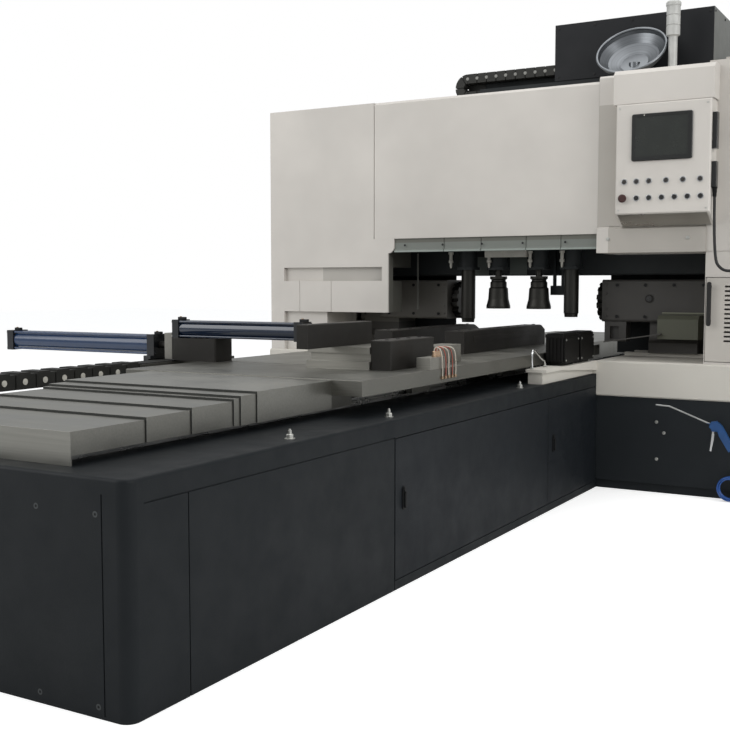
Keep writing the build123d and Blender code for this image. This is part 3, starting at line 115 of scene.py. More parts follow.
def add(tree: bpy.types.NodeTree, kind: str, inputs: dict | None = None,
        **settings: object) -> bpy.types.Node:
    """Adds a node with its settings and links.

    Args:
        tree: Shader or geometry tree.
        kind: Blender's node type.
        inputs: Input name or index to a value, or to the output socket that feeds it.
        settings: Properties of the node.

    Returns:
        The new node.
    """
    node = tree.nodes.new(kind)
    for name, value in settings.items():
        setattr(node, name, value)
    for name, value in (inputs or {}).items():
        if isinstance(value, bpy.types.NodeSocket):
            tree.links.new(value, node.inputs[name])
        else:
            node.inputs[name].default_value = value
    return node


def numbers(tree: bpy.types.NodeTree, operation: str, *values: object,
            **settings: object) -> bpy.types.NodeSocket:
    """Adds a node that works on numbers and gives its result."""
    return add(tree, "ShaderNodeMath", dict(enumerate(values)), operation=operation,
               **settings).outputs["Value"]


def vectors(tree: bpy.types.NodeTree, operation: str, *values: object) -> bpy.types.NodeSocket:
    """Adds a node that works on vectors and gives its result, a number where it measures."""
    made = add(tree, "ShaderNodeVectorMath", dict(enumerate(values)), operation=operation)
    return made.outputs["Value" if operation in ("DISTANCE", "DOT_PRODUCT") else "Vector"]


@dataclass(frozen=True)
class Zone:
    """A box of a surface that has another colour, and may be more or less of a metal."""

    low: Point
    high: Point
    colour: str
    metallic: float | None = None

    def mask(self, tree: bpy.types.NodeTree) -> bpy.types.NodeSocket:
        """Gives 1 inside the box and 0 outside it."""
        where = add(tree, "ShaderNodeTexCoord")
        middle = [(a + b) / 2 for a, b in zip(self.low, self.high)]
        half = [(b - a) / 2 for a, b in zip(self.low, self.high)]
        offset = vectors(tree, "SUBTRACT", where.outputs["Object"], middle)
        beyond = vectors(tree, "SUBTRACT", vectors(tree, "ABSOLUTE", offset), half)
        axes = add(tree, "ShaderNodeSeparateXYZ", {"Vector": beyond})
        across = numbers(tree, "MAXIMUM", axes.outputs["X"], axes.outputs["Y"])
        return numbers(tree, "LESS_THAN", numbers(tree, "MAXIMUM", across, axes.outputs["Z"]), 0.0)


@dataclass(frozen=True)
class Dot:
    """A round spot of a surface in another colour, such as a screw's flush head."""

    centre: Point
    radius: float
    colour: str
    metallic: float | None = None

    def mask(self, tree: bpy.types.NodeTree) -> bpy.types.NodeSocket:
        """Gives 1 within the radius and 0 beyond it."""
        where = add(tree, "ShaderNodeTexCoord")
        reach = vectors(tree, "DISTANCE", where.outputs["Object"], self.centre)
        return numbers(tree, "LESS_THAN", reach, self.radius)


@dataclass(frozen=True)
class Finish:
    """A surface finish: plain shader values, with hooks for its pattern."""

    name: str
    colour: str
    roughness: float = 0.5
    metallic: float = 0.0
    ior: float = 1.5
    specular: float = 0.5
    coat: float = 0.0
    zones: tuple[Zone | Dot, ...] = ()

    def material(self) -> bpy.types.Material:
        """Builds the material once and returns it after that."""
        known = bpy.data.materials.get(self.name)
        if known:
            return known
        made = bpy.data.materials.new(self.name)
        made.use_nodes = True
        tree = made.node_tree
        shader = tree.nodes["Principled BSDF"]
        shader.inputs["Metallic"].default_value = self.metallic
        shader.inputs["Roughness"].default_value = self.roughness
        shader.inputs["Specular IOR Level"].default_value = self.specular
        shader.inputs["Coat Weight"].default_value = self.coat
        shader.inputs["Coat Roughness"].default_value = 0.12
        if not self.metallic:
            shader.inputs["IOR"].default_value = self.ior
        shader.inputs["Base Color"].default_value = linear(self.colour)
        self.pattern(tree, shader)
        self.metal_zones(tree, shader)
        return made

    def pattern(self, tree: bpy.types.NodeTree, shader: bpy.types.Node) -> None:
        """Adds the finish's own pattern; a plain finish has a faint cloudiness of handling."""
        cloud = self.noise(tree, 0.35, 2.0)
        self.tint(tree, shader, cloud.outputs["Fac"], 0.93, 1.05)

    def paint(self, tree: bpy.types.NodeTree) -> bpy.types.NodeSocket | tuple[float, ...]:
        """Gives the finish's colour, with that of each zone laid over it."""
        over = linear(self.colour)
        for zone in self.zones:
            over = add(tree, "ShaderNodeMix", {"Factor": zone.mask(tree), 6: over, 7: linear(zone.colour)},
                       data_type="RGBA").outputs[2]
        return over

    def metal_zones(self, tree: bpy.types.NodeTree, shader: bpy.types.Node) -> None:
        """Makes zones more or less metallic than the rest, where they say so."""
        level: bpy.types.NodeSocket | float = self.metallic
        for zone in self.zones:
            if zone.metallic is not None:
                level = add(tree, "ShaderNodeMix",
                            {"Factor": zone.mask(tree), 2: level, 3: zone.metallic}).outputs[0]
        if isinstance(level, bpy.types.NodeSocket):
            tree.links.new(level, shader.inputs["Metallic"])

    def noise(self, tree: bpy.types.NodeTree, size: float, detail: float,
              stretch: Sequence[float] = (1.0, 1.0, 1.0)) -> bpy.types.Node:
        """Gives a noise on Object coordinates, whose features are about size metres across."""
        where = add(tree, "ShaderNodeTexCoord")
        mapping = add(tree, "ShaderNodeMapping", {"Vector": where.outputs["Object"], "Scale": stretch})
        return add(tree, "ShaderNodeTexNoise",
                   {"Vector": mapping.outputs["Vector"], "Scale": 1.0 / size, "Detail": detail,
                    "Roughness": 0.55})

    def tint(self, tree: bpy.types.NodeTree, shader: bpy.types.Node, factor: bpy.types.NodeSocket,
             low: float, high: float) -> bpy.types.Node:
        """Lets a factor lighten and darken the colour between two shares, and feeds the shader."""
        span = add(tree, "ShaderNodeMapRange",
                   {"Value": factor, "From Min": 0.3, "From Max": 0.7, "To Min": low, "To Max": high})
        shade = add(tree, "ShaderNodeHueSaturation",
                    {"Color": self.paint(tree), "Value": span.outputs["Result"]})
        tree.links.new(shade.outputs["Color"], shader.inputs["Base Color"])
        return shade

    def gloss(self, tree: bpy.types.NodeTree, shader: bpy.types.Node, factor: bpy.types.NodeSocket,
              spread: float) -> None:
        """Lets a factor roughen and polish the surface by spread either way."""
        span = add(tree, "ShaderNodeMapRange",
                   {"Value": factor, "From Min": 0.3, "From Max": 0.7, "To Min": self.roughness - spread,
                    "To Max": self.roughness + spread})
        tree.links.new(span.outputs["Result"], shader.inputs["Roughness"])

    def bump(self, tree: bpy.types.NodeTree, shader: bpy.types.Node, height: bpy.types.NodeSocket,
             depth: float, radius: float = 0.0) -> None:
        """Raises a height pattern by depth metres, over edges softened by radius metres."""
        inputs = {"Height": height, "Distance": depth, "Strength": 1.0}
        if radius:
            soft = add(tree, "ShaderNodeBevel", {"Radius": radius}, samples=4)
            inputs["Normal"] = soft.outputs["Normal"]
        raised = add(tree, "ShaderNodeBump", inputs)
        tree.links.new(raised.outputs["Normal"], shader.inputs["Normal"])

    def rubbed_and_lit_edges(self, tree: bpy.types.NodeTree, shader: bpy.types.Node, shade: bpy.types.Node,
                  radius: float, value: float, share: float) -> None:
        """Lightens the outer few millimetres of each edge, broken up in patches: partly rubbed wear, partly a
        painted highlight.
        """
        soft = add(tree, "ShaderNodeBevel", {"Radius": radius}, samples=4)
        flat = add(tree, "ShaderNodeNewGeometry")
        turn = vectors(tree, "DOT_PRODUCT", soft.outputs["Normal"], flat.outputs["Normal"])
        chips = self.noise(tree, 0.02, 4.0)
        limit = add(tree, "ShaderNodeMapRange",
                    {"Value": chips.outputs["Fac"], "From Min": 0.35, "From Max": 0.65, "To Min": 0.9,
                     "To Max": 0.99})
        under = numbers(tree, "SUBTRACT", limit.outputs["Result"], turn)
        sharp = numbers(tree, "MULTIPLY", under, 12.0, use_clamp=True)
        lightened = add(tree, "ShaderNodeHueSaturation", {"Color": shade.outputs["Color"], "Value": value})
        edge = numbers(tree, "MULTIPLY", sharp, share)
        mixed = add(tree, "ShaderNodeMix",
                    {"Factor": edge, 6: shade.outputs["Color"], 7: lightened.outputs["Color"]},
                    data_type="RGBA")
        tree.links.new(mixed.outputs[2], shader.inputs["Base Color"])


@dataclass(frozen=True)
class PowderCoat(Finish):
    """Textured powder coat baked on sheet steel: matt, faintly pebbled, lighter on its edges from rubbing and
    a painted highlight.
    """

    specular: float = 0.25
    edge_lift: float = 1.35

    def pattern(self, tree: bpy.types.NodeTree, shader: bpy.types.Node) -> None:
        """Cloudy colour, edges lighter from rubbing and a painted highlight, smudges of gloss and a pebbled
        skin.

        The pebbles are 4 mm across, about four times the real ones, so that they show.
        """
        cloud = self.noise(tree, 0.45, 3.0)
        shade = self.tint(tree, shader, cloud.outputs["Fac"], 0.94, 1.06)
        self.rubbed_and_lit_edges(tree, shader, shade, 0.0025, self.edge_lift, 0.35)
        self.gloss(tree, shader, self.noise(tree, 0.12, 3.0).outputs["Fac"], 0.07)
        self.bump(tree, shader, self.noise(tree, 0.004, 2.0).outputs["Fac"], 0.00025, 0.002)


@dataclass(frozen=True)
class WorkedMetal(Finish):
    """Bare steel or iron, brushed, ground or turned: fine parallel lines, oil smears, and edges bright from
    wear and a painted highlight.
    """

    metallic: float = 1.0
    lay: Lay = Lay.ALONG_Y
    line: float = 0.004
    smear: float = 0.12
    edge: float = 1.25

    def pattern(self, tree: bpy.types.NodeTree, shader: bpy.types.Node) -> None:
        """Lines along the lay, with patches of oil that change the colour and the gloss."""
        lines = self.noise(tree, self.line, 3.0, self.lay.value)
        oil = self.noise(tree, 0.18, 4.0)
        both = add(tree, "ShaderNodeMix", {"Factor": 0.45, 2: lines.outputs["Fac"], 3: oil.outputs["Fac"]})
        shade = self.tint(tree, shader, both.outputs[0], 1 - self.smear, 1 + self.smear)
        # Edges lighter: rubbed wear and a painted highlight
        self.rubbed_and_lit_edges(tree, shader, shade, 0.002, self.edge, 1.0)
        self.gloss(tree, shader, oil.outputs["Fac"], min(0.1, self.roughness * 0.5))
        self.bump(tree, shader, lines.outputs["Fac"], 0.00012, 0.0015)


@dataclass(frozen=True)
class Enamel(Finish):
    """Glossy enamel on a drawn tube, with a little orange peel."""

    def pattern(self, tree: bpy.types.NodeTree, shader: bpy.types.Node) -> None:
        """Even colour, with peel about 30 mm across that bends the reflections."""
        peel = self.noise(tree, 0.03, 2.0)
        self.tint(tree, shader, peel.outputs["Fac"], 0.94, 1.05)
        self.bump(tree, shader, peel.outputs["Fac"], 0.0002, 0.0015)


@dataclass(frozen=True)
class Moulded(Finish):
    """Injection-moulded or extruded plastic: fine spark-eroded grain, with scuffs that dull it."""

    grain: float = 0.002

    def pattern(self, tree: bpy.types.NodeTree, shader: bpy.types.Node) -> None:
        """Fine grain, and scuffs that lift the colour a little."""
        scuff = self.noise(tree, 0.05, 5.0)
        self.tint(tree, shader, scuff.outputs["Fac"], 0.88, 1.15)
        self.bump(tree, shader, self.noise(tree, self.grain, 2.0).outputs["Fac"], 0.00015, 0.001)


@dataclass(frozen=True)
class Turned(Finish):
    """Metal turned or spun on a lathe: rings along an axis through centre."""

    metallic: float = 1.0
    centre: Point = (0.0, 0.0, 0.0)
    axis: Point = (0.0, 0.0, 1.0)
    ring: float = 0.004

    def pattern(self, tree: bpy.types.NodeTree, shader: bpy.types.Node) -> None:
        """Rings from the place along the turning axis."""
        where = add(tree, "ShaderNodeTexCoord")
        about = vectors(tree, "SUBTRACT", where.outputs["Object"], self.centre)
        depth = vectors(tree, "DOT_PRODUCT", about, self.axis)
        rings = add(tree, "ShaderNodeTexNoise",
                    {"W": depth, "Scale": 1.0 / self.ring, "Detail": 3.0},
                    noise_dimensions="1D")
        self.tint(tree, shader, rings.outputs["Fac"], 0.85, 1.12)
        self.bump(tree, shader, rings.outputs["Fac"], 0.0002)


# What every piece in the pale coat shares
PALE = {"roughness": 0.55, "specular": 0.4, "edge_lift": 1.1}
# Powder coat, warm pale grey: what the eye first sees on the portal and the console
PANEL = PowderCoat("powder_coat_pale_grey", "#CBC6BF", **PALE)
# The tower wears it too, with painted shade: greyer on its flank, which faces away from the light, and beside
# and below the console, in its shadow
TOWER = PowderCoat("powder_coat_tower_painted_shade", "#CBC6BF", **PALE, zones=(
    Zone((0.63, -0.60, 1.3), (0.6405, -0.10, 2.1), "#8F8A82"),
    Zone((0.639, -0.56, 1.345), (0.7645, -0.54, 1.95), "#B3AEA6"),
    Zone((0.70, -0.56, 1.2), (1.19, -0.54, 1.345), "#AEA9A1")))
# The cabinet wears the pale coat a shade darker: painted shade
CABINET = PowderCoat("powder_coat_cabinet_painted_shade", "#C2BDB6", **PALE)
# The left column wears the same coat, with painted shade: dark on its inner side in the opening, and greyer
# at the back of its recess
COLUMN = PowderCoat("powder_coat_pale_with_painted_shade", "#CBC6BF", **PALE, zones=(
    Zone((-0.70, -0.535, 0.87), (-0.50, -0.10, 1.31), "#5A5952"),
    Zone((-1.03, -0.525, 1.0585), (-0.60, -0.50, 1.155), "#B3AFA8")))
# The service door's pull handle is black on the pale coat, which is a shade darker here: painted shade
DOOR = PowderCoat("powder_coat_pale_painted_shade_black_pull", "#B7B2AA", **PALE, zones=(
    Zone((1.1, -0.60, 0.60), (1.4, -0.5475, 1.10), "#1B1A19"),))
# Powder coat, charcoal with a blue cast: the bed's casing
BED = PowderCoat("powder_coat_charcoal", "#13171A", roughness=0.55, specular=0.2, zones=tuple(
    Dot((x, -4.05, z), radius, colour) for x in (-0.549, -0.351, 0.351, 0.549) for z in (0.029, 0.502)
    for radius, colour in ((0.010, "#101112"), (0.008, "#3E4142"), (0.0035, "#0B0C0C"))))
# The bed's doors wear it too, with a black swing-handle lock
BED_DOOR = PowderCoat("powder_coat_charcoal_door", "#14181C", roughness=0.55, specular=0.2, zones=(
    Zone((0.6505, -4.0, 0.2), (0.70, -0.5, 0.45), "#121314"),))
# The base wears both coats, charcoal below and a slightly darker pale band above
BASE = PowderCoat("powder_coat_two_tone", "#1B1F22", roughness=0.55, zones=(
    Zone((-1.5, -1.4, 0.4795), (1.5, 0.7, 0.70), "#C6C2B9"),))
# The cowl's lower strip is a greyer coat than the cowl
CASING = PowderCoat("powder_coat_over_strip", "#CBC6BF", **PALE, zones=(
    Zone((-0.7, -0.56, 1.2), (0.7, -0.4, 1.3055), "#767A74"),
    Zone((-0.7, -0.56, 1.2), (0.7, -0.4, 1.2385), "#929A94"),
    Zone((-0.7, -0.56, 1.2825), (0.7, -0.4, 1.3055), "#67675F")))
# Machine grey enamel on the beam's weldment, with lighter cover plates and ground steel rails
BEAM = PowderCoat("machine_enamel_dark", "#26292A", roughness=0.6, zones=(
    Zone((-1.28, -0.062, 2.055), (1.17, -0.013, 2.084), "#ABABA8", 1.0),
    Zone((-1.28, 0.155, 1.238), (1.17, 0.1835, 1.287), "#ABABA8", 1.0),
    Zone((-0.23, -0.185, 1.103), (-0.116, -0.175, 1.207), "#6C726D"),
    Zone((0.013, -0.185, 1.103), (0.117, -0.175, 1.207), "#6C726D")))
# Satin black coat on the saw's hood, painted grey on its console side, which faces the light: painted light
HOOD = PowderCoat("satin_coat_black_painted_light_side", "#1F2022", roughness=0.5, specular=0.2, zones=(
    Zone((1.133, -0.26, 2.14), (1.14, 0.47, 2.46), "#6C6D69"),))
# Brownish machine enamel, lighter on the left milling head, with a greenish feed-motor box on the right one
HEAD = PowderCoat("machine_enamel_brown", "#4C4A47", roughness=0.5, specular=0.35, zones=(
    Zone((-1.02, -0.16, 0.82), (-0.38, 0.16, 1.08), "#6B6862"),
    Zone((0.875, -0.27, 0.75), (1.10, -0.136, 0.8945), "#57584C"),
    Zone((0.875, -0.27, 0.8945), (1.10, -0.136, 0.90), "#8B8C7A")))
# Cold-rolled sheet, brushed across the machine: the telescopic covers
SHEET = WorkedMetal("brushed_sheet_steel", "#8C8B85", roughness=0.44, lay=Lay.ALONG_X, line=0.006)
# The widest section is a shade lighter sheet
WIDE_SHEET = WorkedMetal("brushed_sheet_steel_lighter", "#92918B", roughness=0.44, lay=Lay.ALONG_X, line=0.006)
# Ground cast iron: the table's top and its brighter support block, with the grinding wheel's fine lines
IRON = WorkedMetal("ground_cast_iron", "#7F7E78", roughness=0.46, lay=Lay.ALONG_X, line=0.005, smear=0.16,
                   zones=(Zone((-0.6, -2.7, 0.7203), (0.6, -0.2, 0.82), "#98968F"),))
# Hardened and ground rail steel
RAIL = WorkedMetal("ground_rail_steel", "#B4B4B2", roughness=0.28, lay=Lay.ALONG_Y, line=0.003)
# Black oxide on tool steel: clamping jaws and brackets, bright on their edges from rubbing and a painted
# highlight
OXIDE = WorkedMetal("black_oxide_steel", "#2A2825", roughness=0.5, metallic=0.5, lay=Lay.ALONG_Y,
                    line=0.01, edge=2.4)
# The clamp's bracket is oxidised too, with a bare flange on the cylinder's rod
BRACKET = WorkedMetal("black_oxide_bracket", "#2A2825", roughness=0.5, metallic=0.5, lay=Lay.ALONG_Y,
                      line=0.01, edge=2.4, zones=(
    Zone((-0.74, -2.31, 0.70), (-0.6945, -2.17, 0.85), "#85837D", 0.9),))
# Bare tool steel with an oily brown cast: press feet and cutters
TOOL = WorkedMetal("oiled_tool_steel", "#33322F", roughness=0.42, metallic=0.8, lay=Lay.ALONG_Z, line=0.006,
                   edge=1.8)
# Sintered carbide, brazed on: the cutting edges of the cutters and the saw
CARBIDE = WorkedMetal("sintered_carbide", "#8C8B86", roughness=0.3, lay=Lay.ALONG_Y, line=0.002)
# Ground and tensioned saw steel, ringed by the grinding wheel
BLADE = Turned("ground_blade_steel", "#A7A7A6", roughness=0.3, centre=(0.713, 0.348, 1.4),
               axis=(0.0, 1.0, 0.0))
# Blue enamel on the cylinders' tubes, between black anodised end caps
BARREL = Enamel("blue_enamel_tube", "#122F52", roughness=0.22, coat=0.35, zones=(
    Zone((-1.74, -2.32, 0.70), (-1.680, -2.16, 0.85), "#15171A"),
    Zone((-0.842, -2.32, 0.62), (-0.40, -2.16, 0.85), "#15171A")))
# The clamp's tube is darker and glossier
CLAMP_BARREL = Enamel("blue_enamel_clamp_tube", "#0E2038", roughness=0.12, coat=0.6, zones=(
    Zone((-0.70, -2.32, 0.80), (-0.648, -2.20, 0.91), "#15171A"),
    Zone((-0.052, -2.32, 0.80), (0.01, -2.20, 0.91), "#15171A")))
# Stoved black enamel on the motors
MOTOR = PowderCoat("motor_enamel_black", "#1A1B1D", roughness=0.4)
# Glass-filled nylon: the energy chains' links
CHAIN = Moulded("glass_filled_nylon_black", "#2A2A27", roughness=0.6, specular=0.3)
# Polycarbonate terminal boxes, nearly black in the machine's shade
NYLON = Moulded("polycarbonate_box_black", "#0E0D0C", roughness=0.5, specular=0.15)
# Touch panel: dark hard-coated glass in a black bezel
GLASS = Moulded("hard_coated_touch_glass", "#141513", roughness=0.22, coat=0.15, grain=0.01, zones=(
    Zone((0.862, -0.680, 1.670), (1.114, -0.665, 1.858), "#20231F"),))
# Smoked polycarbonate lenses of the unlit pilot lamps
LENS = Moulded("smoked_lamp_lens", "#241F1B", roughness=0.15, coat=0.6)
# Glossy black caps of the push buttons
BUTTON = Moulded("button_cap_black", "#191817", roughness=0.3)
# The stop's mushroom head, a dark red that looks brown in the shade
STOP = Moulded("mushroom_cap_dark_red", "#371613", roughness=0.35)
# Chromed bezel rings, and black connector housings on the console's side
FITTINGS = WorkedMetal("bright_chrome_and_black_housings", "#CFD0D0", roughness=0.2, line=0.02, smear=0.04,
                       edge=1.0, zones=(Zone((1.2215, -0.70, 1.45), (1.30, -0.60, 1.90), "#161616", 0.0),))
# Bright chrome, which shows the room
CHROME = WorkedMetal("bright_chrome", "#D5D6D6", roughness=0.12, line=0.02, smear=0.04, edge=1.0)
# Zinc plate on screws, nuts and washers: pale and slightly milky
ZINC = WorkedMetal("zinc_plated_steel", "#B9B9B4", roughness=0.38, line=0.01, smear=0.1)
# Phosphated black screws
BLACK_SCREW = WorkedMetal("phosphated_screw", "#2B2B2B", roughness=0.5, metallic=0.7, line=0.01, edge=1.6)
# Frosted polycarbonate of the unlit signal stack
SIGNAL = Moulded("frosted_lens_stack", "#B6B6B2", roughness=0.35)
# The air gun: blue nylon grip, and a bare tube to its nozzle
GUN = Moulded("gun_body_blue_and_steel_tube", "#1B4577", roughness=0.35, zones=(
    Zone((0.95, -0.66, 0.38), (1.240, -0.58, 0.47), "#B5B6B4", 1.0),))
# Polyurethane tube, slightly glossy
HOSE = Moulded("polyurethane_tube_blue", "#1D4A8C", roughness=0.25, coat=0.2)
# Oil-proof sheath of the console's cable
CABLE = Moulded("cable_sheath_black", "#151515", roughness=0.5)
# Nitrile boots at the ends of the console's cable
RUBBER = Moulded("nitrile_rubber_black", "#131313", roughness=0.75, specular=0.2)
# Polyurethane wipers, grey under a film of coolant
WIPER = Moulded("polyurethane_wiper_grey", "#3A3B38", roughness=0.6, specular=0.3)
# Spun aluminium, dulled by chips
FUNNEL = Turned("spun_aluminium", "#7B7E81", roughness=0.38, centre=(0.756, -0.4, 2.242),
                axis=(0.0, -0.743, 0.669))
# Nickel-plated brass push-in fittings, warm and bright
BRASS = WorkedMetal("nickel_brass_fitting", "#C0A58B", roughness=0.3, line=0.01, smear=0.08)
# Brushed stainless sheet under the console
STAINLESS = WorkedMetal("brushed_stainless_sheet", "#A5A29D", roughness=0.3, lay=Lay.ALONG_X, line=0.003)
# Soft copper pipe, browned by handling
COPPER = WorkedMetal("browned_copper_pipe", "#A8665A", roughness=0.35, line=0.01, smear=0.12)
# Pale plastic-coated pipe
PALE_PIPE = Moulded("coated_pipe_pale", "#BDB6A8", roughness=0.4)
# Pale nylon heads of the big chain's pins, and grey ones on the small chain
PALE_PIN = Moulded("nylon_pin_pale", "#C9C6BB", roughness=0.45)
CHAIN_PIN = Moulded("nylon_pin_grey", "#83837E", roughness=0.45)
# Pale coat on the spray nozzles and the lamp's housing
PALE_FITTING = Moulded("coated_fitting_pale", "#B9B6AD", roughness=0.4)
# Folded steel edge in the shade of the opening
PALE_EDGE = PowderCoat("powder_coat_edge_grey", "#7C7C76", roughness=0.55, specular=0.3, edge_lift=1.1)
# Small clear status light
STATUS = Moulded("status_light_clear", "#D8D4C8", roughness=0.2, coat=0.5)
# Glass of the oil sight, nearly black with what is behind it
SIGHT = Moulded("oil_sight_glass", "#15130F", roughness=0.08, coat=0.8)

NODE_FINISHES: dict[str, Finish] = {
    "bed_casing": BED, "bed_door_near": BED_DOOR, "bed_door_far": BED_DOOR, "guide_rails": RAIL,
    "feed_screw": RAIL, "feed_motor": MOTOR, "end_covers": SHEET, "table_covers": WIDE_SHEET,
    "rear_cover_2": SHEET, "portal_base": BASE, "left_column": COLUMN, "right_column": CABINET,
    "service_door": DOOR, "beam_casing": CASING, "beam_frame": BEAM, "console_tower": TOWER,
    "console_box": PANEL, "screen": GLASS, "pilot_lamps": LENS, "console_fittings": FITTINGS,
    "e_stop": STOP, "signal_tower": SIGNAL, "extraction_funnel": FUNNEL, "air_gun": GUN,
    "gun_trigger": CHROME, "air_hose": HOSE, "hose_coil": HOSE, "console_cable": CABLE,
    "junction_boxes": NYLON, "table": IRON, "fixed_jaw_near": OXIDE, "fixed_jaw_far": OXIDE,
    "moving_jaw_near": OXIDE, "moving_jaw_far": OXIDE, "positioning_cylinder": BARREL,
    "clamp_bracket": BRACKET, "clamp_cylinder": CLAMP_BARREL, "bed_chain": CHAIN, "beam_chain": CHAIN,
    "saw_carriage": HOOD, "saw_head": HEAD, "saw_blade": BLADE, "left_head": HEAD, "right_head": HEAD,
    "left_cutter": TOOL, "right_cutter": TOOL,
}
NODE_FINISHES |= {f"front_cover_{number}": SHEET for number in range(2, 6)}
NODE_FINISHES |= {f"press_foot_{number}": TOOL for number in range(1, 5)}
NODE_FINISHES |= {f"push_button_{number}": BUTTON for number in range(1, 7)}


def dress_nodes(nodes: dict[str, bpy.types.Object]) -> None:
    """Gives each CAD node its finish.

    Args:
        nodes: The frame's nodes by name.
    """
    for name, node in nodes.items():
        node.data.materials.clear()
        node.data.materials.append(NODE_FINISHES[name].material())


@dataclass
class Studio:
    """Pale floor, soft lamps and the camera at the photograph's angle."""

    camera_place: Point = (2.374, -5.921, 1.05)
    camera_turn: Point = (85.7, 0.0, 30.0)
    focal_pixels: float = 1075.0
    picture_width: float = 730.0
    sensor: float = 36.0
    floor_size: float = 60.0
    floor_drop: float = 0.0005
    floor_glow: float = 0.5
    lamps: tuple[tuple[str, Point, Point, float, float], ...] = (
        ("window_left", (-4.8, -7.2, 4.6), (0.0, -1.5, 0.6), 5.0, 205.0),
        ("window_right", (7.2, -3.4, 4.2), (0.3, -1.2, 0.8), 4.0, 210.0),
        ("roof_light", (0.0, -1.0, 7.5), (0.0, -0.8, 0.0), 6.0, 190.0))

    def build(self) -> None:
        """Makes the camera, the lamps and the floor."""
        scene = bpy.context.scene
        scene.view_settings.view_transform = "Standard"
        lens = bpy.data.cameras.new("photo_camera")
        lens.sensor_width = self.sensor
        lens.lens = self.sensor * self.focal_pixels / self.picture_width
        lens.clip_end = 100.0
        camera = bpy.data.objects.new("photo_camera", lens)
        camera.location = self.camera_place
        camera.rotation_euler = [math.radians(angle) for angle in self.camera_turn]
        scene.collection.objects.link(camera)
        scene.camera = camera
        self.world(scene)
        for name, place, target, size, power in self.lamps:
            self.lamp(name, place, target, size, power)
        self.floor(scene)

    def world(self, scene: bpy.types.Scene) -> None:
        """Makes an even pale world, plain white to the camera and through glass."""
        world = bpy.data.worlds.new("studio")
        world.use_nodes = True
        scene.world = world
        tree = world.node_tree
        tree.nodes.clear()
        path = add(tree, "ShaderNodeLightPath")
        seen = numbers(tree, "MAXIMUM", path.outputs["Is Camera Ray"], path.outputs["Is Transmission Ray"])
        soft = add(tree, "ShaderNodeBackground", {"Color": linear("#F2F4F6"), "Strength": 0.6})
        white = add(tree, "ShaderNodeBackground", {"Color": linear("#FFFFFF"), "Strength": 1.0})
        both = add(tree, "ShaderNodeMixShader",
                   {"Fac": seen, 1: soft.outputs["Background"], 2: white.outputs["Background"]})
        add(tree, "ShaderNodeOutputWorld", {"Surface": both.outputs["Shader"]})

    def lamp(self, name: str, place: Point, target: Point, size: float, power: float) -> None:
        """Makes one soft square lamp that looks at target."""
        light = bpy.data.lights.new(name, "AREA")
        light.shape = "SQUARE"
        light.size = size
        light.energy = power
        lamp = bpy.data.objects.new(name, light)
        lamp.location = place
        lamp.rotation_euler = (Vector(target) - Vector(place)).to_track_quat("-Z", "Y").to_euler()
        bpy.context.scene.collection.objects.link(lamp)

    def floor(self, scene: bpy.types.Scene) -> None:
        """Makes the pale floor, which stays white to the camera apart from the object's shadow."""
        mesh = bpy.data.meshes.new("studio_floor")
        half = self.floor_size / 2
        mesh.from_pydata([(-half, -half, 0), (half, -half, 0), (half, half, 0), (-half, half, 0)], [],
                         [(0, 1, 2, 3)])
        floor = bpy.data.objects.new("studio_floor", mesh)
        floor.location.z = -self.floor_drop
        scene.collection.objects.link(floor)
        finish = bpy.data.materials.new("studio_floor_white")
        finish.use_nodes = True
        tree = finish.node_tree
        shader = tree.nodes["Principled BSDF"]
        shader.inputs["Base Color"].default_value = linear("#F4F4F3")
        shader.inputs["Roughness"].default_value = 0.9
        shader.inputs["Specular IOR Level"].default_value = 0.1
        path = add(tree, "ShaderNodeLightPath")
        glow = numbers(tree, "MULTIPLY", path.outputs["Is Camera Ray"], self.floor_glow)
        shader.inputs["Emission Color"].default_value = linear("#FFFFFF")
        tree.links.new(glow, shader.inputs["Emission Strength"])
        mesh.materials.append(finish)


def shown(name: str, mesh: bpy.types.Mesh, body: str) -> bpy.types.Object:
    """Shows a finished mesh as a piece that rides on a body.

    Args:
        name: The piece's name.
        mesh: Mesh in the frame's own place, with its material.
        body: CAD body that the piece moves with.

    Returns:
        The piece.
    """
    mesh.name = name
    piece = bpy.data.objects.new(name, mesh)
    bpy.context.scene.collection.objects.link(piece)
    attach(piece, body)
    log.info("%s: %d faces on %s", name, len(mesh.polygons), body)
    return piece


def joined(forms: Iterable[bmesh.types.BMesh], finish: Finish) -> bpy.types.Mesh:
    """Joins forms into one mesh with one finish, faces outwards.

    Args:
        forms: Closed forms, which are freed.
        finish: Finish of the whole mesh.

    Returns:
        The mesh.
    """
    mesh = bpy.data.meshes.new("forms")
    whole = bmesh.new()
    for form in forms:
        bmesh.ops.recalc_face_normals(form, faces=form.faces[:])
        form.to_mesh(mesh)
        whole.from_mesh(mesh)
        form.free()
    whole.to_mesh(mesh)
    whole.free()
    mesh.materials.append(finish.material())
    return mesh


def smooth(mesh: bpy.types.Mesh, angle: float = 35.0) -> bpy.types.Mesh:
    """Shades a mesh smooth, with edges sharper than angle kept.

    Args:
        mesh: Mesh to shade.
        angle: Largest turn in degrees that still looks round.

    Returns:
        The same mesh.
    """
    mesh.shade_smooth()
    mesh.set_sharp_from_angle(angle=math.radians(angle))
    return mesh


